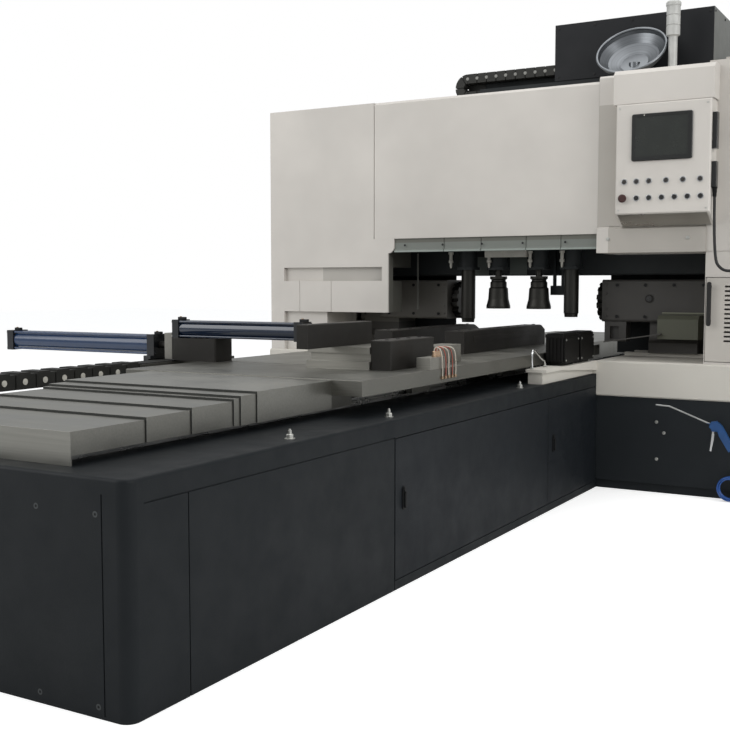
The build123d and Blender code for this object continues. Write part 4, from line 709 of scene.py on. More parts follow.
def prism(outline: Sequence[Flat], axis: Axis, low: float, high: float,
          bevel: float = 0.0) -> bmesh.types.BMesh:
    """Extrudes an outline along an axis.

    Args:
        outline: Corners in the two other axes, in order.
        axis: Axis to extrude along.
        low: Where the form starts on the axis.
        high: Where it ends.
        bevel: Width of the chamfer on each edge.

    Returns:
        The closed form.
    """
    form = bmesh.new()
    rings = []
    for depth in (low, high):
        ring = []
        for spot in outline:
            place = [0.0, 0.0, 0.0]
            place[axis.value[0]], place[axis.value[1]], place[axis.value[2]] = *spot, depth
            ring.append(form.verts.new(place))
        rings.append(ring)
    form.faces.new(rings[0])
    form.faces.new(reversed(rings[1]))
    for index in range(len(outline)):
        after = (index + 1) % len(outline)
        form.faces.new((rings[0][index], rings[1][index], rings[1][after], rings[0][after]))
    if bevel:
        bmesh.ops.bevel(form, geom=form.edges[:], offset=bevel, segments=2, profile=0.6, affect="EDGES")
    return form


def plate(low: Point, high: Point, bevel: float = 0.001) -> bmesh.types.BMesh:
    """Makes a plate or block with eased edges between two corners."""
    outline = [(low[0], low[1]), (high[0], low[1]), (high[0], high[1]), (low[0], high[1])]
    return prism(outline, Axis.Z, low[2], high[2], bevel)


def turned(profile: Sequence[Flat], origin: Point, facing: Point, facets: int = 24) -> bmesh.types.BMesh:
    """Turns a profile about an axis.

    Args:
        profile: (radius, distance along the axis) from one end to the other; both ends get a cap.
        origin: Where distance 0 lies.
        facing: Direction of the axis.
        facets: Facets round it.

    Returns:
        The closed form.
    """
    form = bmesh.new()
    turn = Vector((0, 0, 1)).rotation_difference(Vector(facing))
    rings = []
    for radius, reach in profile:
        ring = []
        for step in range(facets):
            angle = 2 * math.pi * step / facets
            spot = turn @ Vector((radius * math.cos(angle), radius * math.sin(angle), reach))
            ring.append(form.verts.new(spot + Vector(origin)))
        rings.append(ring)
    form.faces.new(rings[0])
    form.faces.new(reversed(rings[-1]))
    for one, other in zip(rings, rings[1:]):
        for index in range(facets):
            after = (index + 1) % facets
            form.faces.new((one[index], other[index], other[after], one[after]))
    return form


def nurbs(name: str, points: Sequence[Point], diameter: float, roundness: int) -> bpy.types.Object:
    """Makes one open round line through its control points.

    Args:
        name: The line's name.
        points: Its control points; the ends are met exactly.
        diameter: Its diameter.
        roundness: Blender's bevel resolution of its section.

    Returns:
        The line, as a curve in the scene.
    """
    curve = bpy.data.curves.new(name, "CURVE")
    curve.dimensions = "3D"
    curve.bevel_depth = diameter / 2
    curve.bevel_resolution = roundness
    curve.resolution_u = 8
    curve.use_fill_caps = True
    spline = curve.splines.new("NURBS")
    spline.points.add(len(points) - 1)
    for spot, place in zip(spline.points, points):
        spot.co = (*place, 1.0)
    spline.order_u = 3
    spline.use_endpoint_u = True
    line = bpy.data.objects.new(name, curve)
    bpy.context.scene.collection.objects.link(line)
    return line


def bent(points: Sequence[Point], diameter: float, finish: Finish) -> bpy.types.Mesh:
    """Bends a rod or tube along a smooth line.

    Args:
        points: Control points of the line; the ends are met exactly.
        diameter: The rod's diameter.
        finish: Its finish.

    Returns:
        The rod's mesh.
    """
    carrier = nurbs("bent_rod", points, diameter, 3)
    curve = carrier.data
    mesh = bpy.data.meshes.new_from_object(carrier.evaluated_get(bpy.context.evaluated_depsgraph_get()))
    bpy.data.objects.remove(carrier)
    bpy.data.curves.remove(curve)
    mesh.materials.clear()
    mesh.materials.append(finish.material())
    return mesh


class Scatter:
    """Geometry Nodes that set one small form on many places, each turned to its own side."""

    _trees: dict[str, bpy.types.NodeTree] = {}

    @classmethod
    def tree(cls, kind: str, sizes: dict[str, str]) -> tuple[bpy.types.NodeTree, bpy.types.Node]:
        """Starts a tree with named inputs.

        Args:
            kind: The tree's name.
            sizes: Input name to socket type.

        Returns:
            The tree and its group input node.
        """
        tree = bpy.data.node_groups.new(kind, "GeometryNodeTree")
        tree.interface.new_socket("Places", in_out="INPUT", socket_type="NodeSocketGeometry")
        for name, socket in sizes.items():
            tree.interface.new_socket(name, in_out="INPUT", socket_type=socket)
        tree.interface.new_socket("Finish", in_out="INPUT", socket_type="NodeSocketMaterial")
        tree.interface.new_socket("Geometry", in_out="OUTPUT", socket_type="NodeSocketGeometry")
        return tree, add(tree, "NodeGroupInput")

    @classmethod
    def spread(cls, tree: bpy.types.NodeTree, group: bpy.types.Node, form: bpy.types.NodeSocket,
               height: bpy.types.NodeSocket) -> None:
        """Ends a tree: the form stood on every place, turned to its side, made real and finished."""
        up = add(tree, "ShaderNodeCombineXYZ", {"Z": numbers(tree, "MULTIPLY", height, 0.5)})
        seated = add(tree, "GeometryNodeTransform", {"Geometry": form, "Translation": up.outputs["Vector"]})
        side = add(tree, "GeometryNodeInputNamedAttribute", {"Name": "side"}, data_type="FLOAT_VECTOR")
        turn = add(tree, "FunctionNodeAlignRotationToVector", {"Vector": side.outputs["Attribute"]}, axis="Z")
        on = add(tree, "GeometryNodeInstanceOnPoints",
                 {"Points": group.outputs["Places"], "Instance": seated.outputs["Geometry"],
                  "Rotation": turn.outputs["Rotation"]})
        real = add(tree, "GeometryNodeRealizeInstances", {"Geometry": on.outputs["Instances"]})
        done = add(tree, "GeometryNodeSetMaterial",
                   {"Geometry": real.outputs["Geometry"], "Material": group.outputs["Finish"]})
        add(tree, "NodeGroupOutput", {"Geometry": done.outputs["Geometry"]})

    @classmethod
    def fastener_tree(cls) -> bpy.types.NodeTree:
        """Makes the tree of a turned or hexagonal head whose inner face is sunk or raised."""
        if "fastener" not in cls._trees:
            tree, group = cls.tree("fastener_on_places", {
                "Radius": "NodeSocketFloat", "Height": "NodeSocketFloat", "Sides": "NodeSocketInt",
                "Inner Share": "NodeSocketFloat", "Inner Rise": "NodeSocketFloat"})
            head = add(tree, "GeometryNodeMeshCylinder",
                       {"Vertices": group.outputs["Sides"], "Radius": group.outputs["Radius"],
                        "Depth": group.outputs["Height"]})
            face = add(tree, "GeometryNodeExtrudeMesh",
                       {"Mesh": head.outputs["Mesh"], "Selection": head.outputs["Top"], "Offset Scale": 0.0,
                        "Individual": False}, mode="FACES")
            inner = add(tree, "GeometryNodeScaleElements",
                        {"Geometry": face.outputs["Mesh"], "Selection": face.outputs["Top"],
                         "Scale": group.outputs["Inner Share"]})
            sunk = add(tree, "GeometryNodeExtrudeMesh",
                       {"Mesh": inner.outputs["Geometry"], "Selection": face.outputs["Top"],
                        "Offset Scale": group.outputs["Inner Rise"], "Individual": False}, mode="FACES")
            cls.spread(tree, group, sunk.outputs["Mesh"], group.outputs["Height"])
            cls._trees["fastener"] = tree
        return cls._trees["fastener"]

    @classmethod
    def bar_tree(cls) -> bpy.types.NodeTree:
        """Makes the tree of a bar or rib, seated on its place."""
        if "bar" not in cls._trees:
            tree, group = cls.tree("bar_on_places", {"Size": "NodeSocketVector"})
            bar = add(tree, "GeometryNodeMeshCube", {"Size": group.outputs["Size"]})
            axes = add(tree, "ShaderNodeSeparateXYZ", {"Vector": group.outputs["Size"]})
            cls.spread(tree, group, bar.outputs["Mesh"], axes.outputs["Z"])
            cls._trees["bar"] = tree
        return cls._trees["bar"]

    @classmethod
    def grown(cls, tree: bpy.types.NodeTree, places: Sequence[tuple[Point, Point]],
              sizes: dict[str, object], finish: Finish) -> bpy.types.Mesh:
        """Runs a tree over places and gives the plain mesh that it makes.

        Args:
            tree: Tree to run.
            places: Each place with the direction that the form faces there.
            sizes: Input name to value.
            finish: Finish of the forms.

        Returns:
            The mesh.
        """
        seeds = bpy.data.meshes.new("places")
        seeds.from_pydata([place for place, _ in places], [], [])
        side = seeds.attributes.new("side", "FLOAT_VECTOR", "POINT")
        for index, (_, facing) in enumerate(places):
            side.data[index].vector = facing
        carrier = bpy.data.objects.new("places", seeds)
        bpy.context.scene.collection.objects.link(carrier)
        growth = carrier.modifiers.new("growth", "NODES")
        growth.node_group = tree
        values = {**sizes, "Finish": finish.material()}
        for item in tree.interface.items_tree:
            if item.in_out == "INPUT" and item.name in values:
                growth[item.identifier] = values[item.name]
        mesh = bpy.data.meshes.new_from_object(carrier.evaluated_get(bpy.context.evaluated_depsgraph_get()))
        bpy.data.objects.remove(carrier)
        bpy.data.meshes.remove(seeds)
        return mesh


@dataclass(frozen=True)
class Fastener:
    """One kind of screw, bolt, nut, pin or disc: its head's form and size, its finish and its slot."""

    head: Head
    radius: float
    height: float
    finish: Finish
    slot: str = "rail_steel"


LEDGE_WASHER = Fastener(Head.DISC, 0.016, 0.003, ZINC)
LEDGE_NUT = Fastener(Head.HEX, 0.012, 0.011, ZINC)
LEDGE_STUD = Fastener(Head.BUTTON, 0.006, 0.012, ZINC)
BASE_SCREW = Fastener(Head.BUTTON, 0.008, 0.004, ZINC)
HOOK_NUT = Fastener(Head.HEX, 0.011, 0.007, ZINC)
BED_CHAIN_PIN = Fastener(Head.BUTTON, 0.012, 0.0012, PALE_PIN, "chain_plastic")
BEAM_CHAIN_PIN = Fastener(Head.BUTTON, 0.009, 0.0012, CHAIN_PIN, "chain_plastic")
TIE_NUT = Fastener(Head.HEX, 0.008, 0.0044, ZINC)
PORT_SCREW = Fastener(Head.SOCKET, 0.005, 0.003, BRASS)
JAW_SCREW = Fastener(Head.SOCKET, 0.009, 0.0022, BLACK_SCREW, "fitting_black")
LID_SCREW = Fastener(Head.SOCKET, 0.005, 0.0015, ZINC)
LIP_SCREW = Fastener(Head.BUTTON, 0.009, 0.004, ZINC)
STRIP_SCREW = Fastener(Head.BUTTON, 0.006, 0.0025, BLACK_SCREW, "fitting_black")
COVER_SCREW = Fastener(Head.BUTTON, 0.007, 0.003, ZINC)
LOW_COVER_SCREW = Fastener(Head.BUTTON, 0.007, 0.0013, ZINC)
CORNER_SCREW = Fastener(Head.SOCKET, 0.0045, 0.0018, ZINC)
STATUS_LIGHT = Fastener(Head.BUTTON, 0.003, 0.0012, STATUS, "lamp_plastic")
HEAD_SCREW = Fastener(Head.SOCKET, 0.0085, 0.004, BLACK_SCREW, "fitting_black")
SIGHT_RING = Fastener(Head.DISC, 0.022, 0.006, OXIDE, "jaw_steel")
SIGHT_GLASS = Fastener(Head.BUTTON, 0.015, 0.003, SIGHT, "screen_glass")
FLANGE_BOLT = Fastener(Head.SOCKET, 0.0055, 0.003, BLACK_SCREW, "fitting_black")
HOOD_SCREW = Fastener(Head.BUTTON, 0.006, 0.0028, BLACK_SCREW, "fitting_black")


def directed(places: Sequence[tuple[Point, Side | Point]]) -> list[tuple[Point, Point]]:
    """Gives each place its side as a direction."""
    return [(place, side.value if isinstance(side, Side) else side) for place, side in places]


def fasteners(name: str, places: Sequence[tuple[Point, Side | Point]], kind: Fastener,
              body: str = "machine") -> bpy.types.Object:
    """Sets fasteners of one kind on their places.

    Args:
        name: The piece's name.
        places: Each place with the side that the head faces.
        kind: Kind of fastener.
        body: CAD body that the piece moves with.

    Returns:
        The piece.
    """
    sides, share, rise = kind.head.value
    mesh = Scatter.grown(Scatter.fastener_tree(), directed(places),
                         {"Radius": kind.radius, "Height": kind.height, "Sides": sides, "Inner Share": share,
                          "Inner Rise": rise * kind.height}, kind.finish)
    return shown(name, smooth(mesh), body)


def bars(name: str, places: Sequence[tuple[Point, Side | Point]], size: Point, finish: Finish, body: str) -> bpy.types.Object:
    """Sets bars, slats, ribs or cutting edges on their places.

    Args:
        name: The piece's name.
        places: Each place with the side that the bar's own Z faces.
        size: The bar's size before it is turned.
        finish: Its finish.
        body: CAD body that the piece moves with.

    Returns:
        The piece.
    """
    mesh = Scatter.grown(Scatter.bar_tree(), directed(places), {"Size": size}, finish)
    return shown(name, mesh, body)


def steps(start: float, end: float, count: int) -> list[float]:
    """Gives count even places from start to end."""
    return [start + (end - start) * index / (count - 1) for index in range(count)]


@dataclass
class Cords:
    """The console's cable and the air gun's hose with its coil, with the boots and nuts at their ends."""

    cable_route: tuple[Point, ...] = ((1.236, -0.63, 1.51), (1.236, -0.63, 1.175), (1.278, -0.634, 1.115),
                                      (1.332, -0.634, 1.112), (1.362, -0.604, 1.118), (1.362, -0.562, 1.118))
    cable_diameter: float = 0.014
    hose_route: tuple[Point, ...] = ((1.343, -0.62, 0.254), (1.3582, -0.62, 0.2293), (1.373, -0.614, 0.192),
                                     (1.381, -0.6, 0.1472), (1.3661, -0.6, 0.1215))
    hose_diameter: float = 0.008
    coil_centre: Point = (1.333, -0.6, 0.064)
    coil_radii: tuple[float, ...] = (0.0575, 0.0495)
    coil_rows: tuple[float, ...] = (-0.608, -0.6, -0.592)
    coil_start: float = 60.0
    coil_slack: float = 0.0006
    points_per_turn: int = 16
    outlet: Point = (1.369, -0.588, 0.099)
    boot_profile: tuple[Flat, ...] = ((0.0125, 0.0), (0.0125, 0.006), (0.0108, 0.008), (0.0102, 0.02),
                                      (0.0112, 0.022), (0.0098, 0.024), (0.0092, 0.034), (0.0100, 0.036),
                                      (0.0086, 0.046))
    nut_profile: tuple[Flat, ...] = ((0.0075, 0.0), (0.0075, 0.008), (0.0060, 0.010), (0.0052, 0.016))

    def coil_points(self) -> list[Point]:
        """Works out the coil's turns: rows side by side on the outer layer, then on the inner one."""
        points = []
        start = math.radians(self.coil_start)
        turns = [(radius, row) for radius in self.coil_radii for row in self.coil_rows]
        for turn, (radius, row) in enumerate(turns):
            for step in range(self.points_per_turn):
                angle = start - 2 * math.pi * step / self.points_per_turn
                loose = self.coil_slack * math.sin(3 * angle + turn)
                points.append((self.coil_centre[0] + (radius + loose) * math.cos(angle), row,
                               self.coil_centre[2] + (radius + loose) * math.sin(angle)))
        return points

    @staticmethod
    def length(points: Sequence[Point]) -> float:
        """Adds up the runs of a route."""
        return sum((Vector(b) - Vector(a)).length for a, b in zip(points, points[1:]))

    def build(self) -> None:
        cable = nurbs("console_cable_sheath", self.cable_route, self.cable_diameter, 4)
        cable.data.materials.append(CABLE.material())
        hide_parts("console_cable")
        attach(cable, "machine")
        boots = [turned(self.boot_profile, self.cable_route[0], Side.DOWN.value),
                 turned(self.boot_profile, self.cable_route[-1], Side.FRONT.value)]
        boot = shown("console_cable_boots", smooth(joined(boots, RUBBER)), "machine")
        route = [*self.hose_route, *self.coil_points(), self.outlet]
        hose = nurbs("air_hose_tube", route, self.hose_diameter, 4)
        hose.data.materials.append(HOSE.material())
        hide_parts("air_hose", "hose_coil")
        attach(hose, "machine")
        log.info("hose runs add up to %.3f m", self.length(route))
        leaving = Vector(route[1]) - Vector(route[0])
        entering = Vector(route[-2]) - Vector(route[-1])
        nuts = [turned(self.nut_profile, route[0], tuple(leaving)),
                turned(self.nut_profile, route[-1], tuple(entering))]
        fittings = shown("air_hose_nuts", smooth(joined(nuts, BRASS)), "machine")


@dataclass
class Bed:
    """The bed's ledge studs, the base's front screws and the sill's hook."""

    top: float = 0.592
    stud_line: float = 0.6
    stud_places: tuple[float, ...] = (-3.294, -2.683, -1.479)
    base_front: float = -0.546
    base_screws: tuple[Flat, ...] = ((0.961, 0.36), (0.999, 0.307), (0.965, 0.173))
    hook: tuple[Point, ...] = ((0.58, -1.278, 0.655), (0.58, -1.285, 0.69), (0.58, -1.282, 0.738),
                               (0.58, -1.262, 0.752), (0.58, -1.205, 0.722), (0.58, -1.143, 0.694),
                               (0.58, -1.116, 0.69), (0.58, -1.113, 0.655))
    hook_diameter: float = 0.009
    sill: float = 0.660

    def build(self) -> None:
        """Makes the bed's fasteners and hook."""
        studs = [((self.stud_line, y, self.top), Side.UP) for y in self.stud_places]
        fasteners("bed_ledge_washers", studs, LEDGE_WASHER)
        raised = [((x, y, z + LEDGE_WASHER.height), side) for (x, y, z), side in studs]
        fasteners("bed_ledge_nuts", raised, LEDGE_NUT)
        ends = [((x, y, z + LEDGE_NUT.height), side) for (x, y, z), side in raised]
        fasteners("bed_ledge_studs", ends, LEDGE_STUD)
        base = [((x, self.base_front, z), Side.FRONT) for x, z in self.base_screws]
        fasteners("base_front_screws", base, BASE_SCREW)
        shown("sill_hook", smooth(bent(self.hook, self.hook_diameter, CHROME)), "machine")
        feet = [((self.hook[0][0], y, self.sill), Side.UP) for y in (self.hook[0][1], self.hook[-1][1])]
        fasteners("sill_hook_nuts", feet, HOOK_NUT)


@dataclass
class Wipers:
    """Plastic wipers at the open edges of the telescopic covers."""

    edges: tuple[float, ...] = (-3.690, -3.500, -3.305, -3.275, -3.195)
    first_half_width: float = 0.392
    first_top: float = 0.680
    side_step: float = 0.004
    rise: float = 0.0072
    foot: float = 0.619
    thickness: float = 0.002
    inset: float = 0.0003
    clearance: float = 0.0004
    bodies: tuple[str, ...] = ("front_cover_2", "front_cover_3", "front_cover_4", "front_cover_5", "table")
    rear_edges: tuple[tuple[float, int, str], ...] = ((1.130, 4, "rear_cover_2"), (0.500, 5, "table"))

    def strip(self, section: int, low: float, high: float) -> bpy.types.Mesh:
        """Makes the wiper that fills the step from one section down to the next.

        Args:
            section: Which section carries it, counted from the narrowest.
            low: Where it starts on Y.
            high: Where it ends.

        Returns:
            The wiper's mesh.
        """
        wide = self.first_half_width + section * self.side_step - self.inset
        top = self.first_top + section * self.rise - self.inset
        inner = self.first_half_width + (section - 1) * self.side_step + self.clearance
        under = self.first_top + (section - 1) * self.rise + self.clearance
        outline = [(-wide, self.foot), (-inner, self.foot), (-inner, under), (inner, under),
                   (inner, self.foot), (wide, self.foot), (wide, top), (-wide, top)]
        return joined([prism(outline, Axis.Y, low, high)], WIPER)

    def build(self) -> None:
        """Makes each wiper on the section that carries it."""
        for section, (body, edge) in enumerate(zip(self.bodies, self.edges), 1):
            shown(f"wiper_{body}", self.strip(section, edge - self.thickness, edge), body)
        for edge, section, body in self.rear_edges:
            shown(f"wiper_rear_{body}", self.strip(section, edge, edge + self.thickness), body)


@dataclass
class Chains:
    """Link pins of the two energy chains, lids on the big one and a sheet in the small one's bend."""

    bed_face: float = -0.695
    bed_start: float = -3.805
    bed_pitch: float = 0.098
    bed_links: int = 19
    bed_line: float = 0.69
    lids: int = 14
    lid_size: Point = (0.094, 0.060, 0.006)
    lid_line: Flat = (-0.745, 0.718)
    beam_face: float = -0.241
    beam_start: float = -0.231
    beam_pitch: float = 0.058
    beam_links: int = 10
    beam_line: float = 2.214
    bend_sheet: tuple[Point, Point] = ((-0.255, -0.1715, 2.1405), (-0.15, -0.1697, 2.1895))
    bend_sheet_bevel: float = 0.0002

    def build(self) -> None:
        """Sets a pin on each link that the upper run holds, the lids and the bend's sheet."""
        x, z = self.lid_line
        lids = [((x, self.bed_start + self.bed_pitch * link, z), Side.UP) for link in range(self.lids)]
        bars("bed_chain_lids", lids, self.lid_size, CHAIN, "bed_chain")
        bed = [((self.bed_face, self.bed_start + self.bed_pitch * link, self.bed_line), Side.RIGHT)
               for link in range(self.bed_links)]
        fasteners("bed_chain_pins", bed, BED_CHAIN_PIN, "bed_chain")
        sheet = plate(*self.bend_sheet, self.bend_sheet_bevel)
        shown("beam_chain_bend_sheet", joined([sheet], CHAIN), "beam_chain")
        beam = [((self.beam_start + self.beam_pitch * link, self.beam_face, self.beam_line), Side.FRONT)
                for link in range(self.beam_links)]
        fasteners("beam_chain_pins", beam, BEAM_CHAIN_PIN, "beam_chain")


@dataclass
class Cylinder:
    """Tie-rod nuts and port valves of a pneumatic cylinder with square end caps."""

    name: str
    body: str
    line: Flat
    caps: tuple[Flat, Flat]
    tie: float
    cap_half: float
    valve_reach: Flat = (-0.010, 0.026)
    valve_half: float = 0.009
    valve_sink: float = 0.001
    valve_rise: float = 0.011
    valve_bevel: float = 0.002

    def build(self) -> None:
        """Makes a nut at the open end of each tie rod, and a valve with its screw on each cap."""
        y, z = self.line
        nuts = [((self.caps[0][0], y + a * self.tie, z + b * self.tie), Side.LEFT)
                for a in (-1, 1) for b in (-1, 1)]
        fasteners(f"{self.name}_nuts", nuts, TIE_NUT, self.body)
        middles = [(low + high) / 2 for low, high in self.caps]
        top = z + self.cap_half
        valves = [plate((x + self.valve_reach[0], y - self.valve_half, top - self.valve_sink),
                        (x + self.valve_reach[1], y + self.valve_half, top + self.valve_rise),
                        self.valve_bevel) for x in middles]
        shown(f"{self.name}_ports", joined(valves, BLACK_SCREW), self.body)
        screws = [((x, y, top + self.valve_rise), Side.UP) for x in middles]
        fasteners(f"{self.name}_port_screws", screws, PORT_SCREW, self.body)


@dataclass
class Table:
    """Jaw screws, and the valve block's fittings and pipes."""

    top: float = 0.72
    side: float = 0.535
    near_jaw: tuple[Flat, Flat, float] = ((0.33, 0.42), (-2.34, -1.97), 0.835)
    far_jaw: tuple[Flat, Flat, float] = ((0.15, 0.254), (-1.31, -0.24), 0.828)
    moving_jaw: tuple[Flat, Flat, float] = ((-0.25, -0.15), (-1.28, -0.24), 0.823)
    jaw_inset: float = 0.05
    valve_side: float = 0.531
    valve_span: Flat = (-2.225, -2.085)
    valve_top: float = 0.766
    fitting: tuple[Flat, ...] = ((0.010, -0.001), (0.010, 0.007), (0.008, 0.008), (0.008, 0.02),
                                 (0.0055, 0.022))
    fitting_facets: int = 20
    fitting_inset: float = 0.022
    fitting_ends: Flat = (0.075, -0.012)
    pipes: int = 5
    pipe: float = 0.005
    pipe_ends: Flat = (0.09, 0.07)
    pipe_gap: float = 0.0006
    pipe_sway: float = 0.006
    drop: float = 0.682
    nut_half: float = 0.007
    nut_depth: float = 0.0064
    nut_heights: Flat = (-0.004, 0.008)

    def jaw_screws(self, name: str, jaw: tuple[Flat, Flat, float], count: int, body: str = "table") -> None:
        """Sets a row of socket screws along a jaw's top."""
        (x_low, x_high), (y_low, y_high), top = jaw
        row = [(((x_low + x_high) / 2, y, top), Side.UP)
               for y in steps(y_low + self.jaw_inset, y_high - self.jaw_inset, count)]
        fasteners(name, row, JAW_SCREW, body)

    def pipe_route(self, index: int, x: float, y: float, low: float) -> tuple[Point, ...]:
        """Works out a pipe's way from its fitting over the table's edge.

        Args:
            index: The pipe's number, which sets its sway.
            x: Where its fitting is on X.
            y: Where its fitting is on Y.
            low: Where it ends on Y.

        Returns:
            The pipe's control points.
        """
        top = self.valve_top
        edge = self.side + self.pipe / 2 + self.pipe_gap
        lean = self.pipe_sway * math.sin(2.1 * index + 0.4)
        return ((x, y, top + 0.018), (x, y, top + 0.030), (x + 0.006, y + lean, top + 0.040),
                (edge - 0.006, low - 0.012, top + 0.034), (edge, low, top + 0.004),
                (edge, low + lean, self.top - 0.012), (edge, low, self.drop))

    def fittings(self) -> None:
        """Makes the valve block's push-in fittings and the pipes that leave over the table's edge."""
        start, end = self.valve_span
        places = steps(start + self.fitting_ends[0], end + self.fitting_ends[1], self.pipes)
        drops = steps(start + self.pipe_ends[0], end + self.pipe_ends[1], self.pipes)
        x = self.valve_side - self.fitting_inset
        seats = [turned(self.fitting, (x, y, self.valve_top), Side.UP.value, self.fitting_facets)
                 for y in places]
        shown("valve_fittings", smooth(joined(seats, BRASS)), "table")
        for index, (y, low) in enumerate(zip(places, drops)):
            run = bent(self.pipe_route(index, x, y, low), self.pipe, COPPER if index % 2 else PALE_PIPE)
            shown(f"valve_pipe_{index + 1}", smooth(run), "table")
        clamps = [plate((self.side, y - self.nut_half, self.drop + self.nut_heights[0]),
                        (self.side + self.nut_depth, y + self.nut_half, self.drop + self.nut_heights[1]))
                  for y in drops]
        shown("valve_pipe_nuts", joined(clamps, BRASS), "table")

    def build(self) -> None:
        """Makes everything that the table carries."""
        self.jaw_screws("near_jaw_screws", self.near_jaw, 4)
        self.jaw_screws("far_jaw_screws", self.far_jaw, 9)
        self.jaw_screws("moving_jaw_screws", self.moving_jaw, 9, "moving_jaw_far")
        self.fittings()


@dataclass
class JunctionBoxes:
    """Lids, lid screws and front ribs of the terminal boxes on the sill."""

    width: Flat = (0.545, 0.640)
    boxes: tuple[Flat, ...] = ((-1.030, -0.812), (-0.802, -0.582))
    bottom: float = 0.66
    top: float = 0.81
    rim: float = 0.012
    lid_inset: float = 0.008
    lid_sink: float = 0.001
    side_lid: Flat = (0.006, 0.003)
    top_lid: Flat = (0.005, 0.0025)
    screw_insets: Flat = (0.022, 0.014)
    rib_span: Flat = (0.565, 0.62)
    ribs: int = 4
    rib_size: Point = (0.004, 0.115, 0.003)

    def build(self) -> None:
        """Makes a lid on each box's outer side and top, its screws and its ribs."""
        lids, screws, ribs = [], [], []
        left, right = self.width
        low, high = self.bottom + self.rim, self.top - self.rim
        rise, bevel = self.side_lid
        top_rise, top_bevel = self.top_lid
        along, up = self.screw_insets
        for front, rear in self.boxes:
            lids.append(plate((right - self.lid_sink, front + self.lid_inset, low),
                              (right + rise, rear - self.lid_inset, high), bevel))
            lids.append(plate((left + self.lid_inset, front + self.lid_inset, self.top - self.lid_sink),
                              (right - rise, rear - self.lid_inset, self.top + top_rise), top_bevel))
            screws += [((right + rise, y, z), Side.RIGHT) for y in (front + along, rear - along)
                       for z in (low + up, high - up)]
            ribs += [((x, front, (self.bottom + self.top) / 2), Side.FRONT)
                     for x in steps(*self.rib_span, self.ribs)]
        shown("junction_box_lids", joined(lids, NYLON), "machine")
        fasteners("junction_box_screws", screws, LID_SCREW)
        bars("junction_box_ribs", ribs, self.rib_size, NYLON, "machine")


@dataclass
class Portal:
    """What the cowl, the tower and the opening carry: nozzles, lamp, folded edge and screws."""

    nozzle_line: float = -0.36
    nozzles: tuple[float, ...] = (-0.272, -0.038, 0.205, 0.387)
    nozzle: tuple[Flat, ...] = ((0.014, 0.0), (0.014, 0.012), (0.009, 0.014), (0.009, 0.045), (0.013, 0.047),
                                (0.013, 0.06), (0.007, 0.062), (0.007, 0.078), (0.004, 0.09))
    ceiling: float = 1.2305
    lamp: tuple[Flat, Flat] = ((-0.057, 0.187), (1.198, 1.2395))
    lamp_half: float = 0.02
    lamp_bevel: float = 0.004
    edge_place: Flat = (-0.555, -0.22)
    edge_half: Flat = (0.005, 0.002)
    edge_low: float = 0.90
    edge_bevel: float = 0.0005
    lip_front: float = -0.558
    lip_screws: tuple[float, ...] = (0.700, 1.098)
    lip_height: float = 1.278
    front: float = -0.546
    strip_screws: tuple[float, ...] = (-0.47, -0.235, 0.0, 0.235, 0.47)
    strip_height: float = 1.268

    def build(self) -> None:
        """Makes the portal's fittings."""
        tips = [turned(self.nozzle, (x, self.nozzle_line, self.ceiling), Side.DOWN.value)
                for x in self.nozzles]
        shown("spray_nozzles", smooth(joined(tips, PALE_FITTING)), "machine")
        (x_low, x_high), (z_low, z_high) = self.lamp
        lamp = plate((x_low, self.nozzle_line - self.lamp_half, z_low),
                     (x_high, self.nozzle_line + self.lamp_half, z_high), self.lamp_bevel)
        shown("work_lamp", joined([lamp], PALE_FITTING), "machine")
        (x, y), (across, along) = self.edge_place, self.edge_half
        edge = plate((x - across, y - along, self.edge_low), (x + across, y + along, self.ceiling),
                     self.edge_bevel)
        shown("curtain_edge", joined([edge], PALE_EDGE), "machine")
        lip = [((x, self.lip_front, self.lip_height), Side.FRONT) for x in self.lip_screws]
        fasteners("tower_lip_screws", lip, LIP_SCREW)
        strip = [((x, self.front, self.strip_height), Side.FRONT) for x in self.strip_screws]
        fasteners("cowl_strip_screws", strip, STRIP_SCREW)


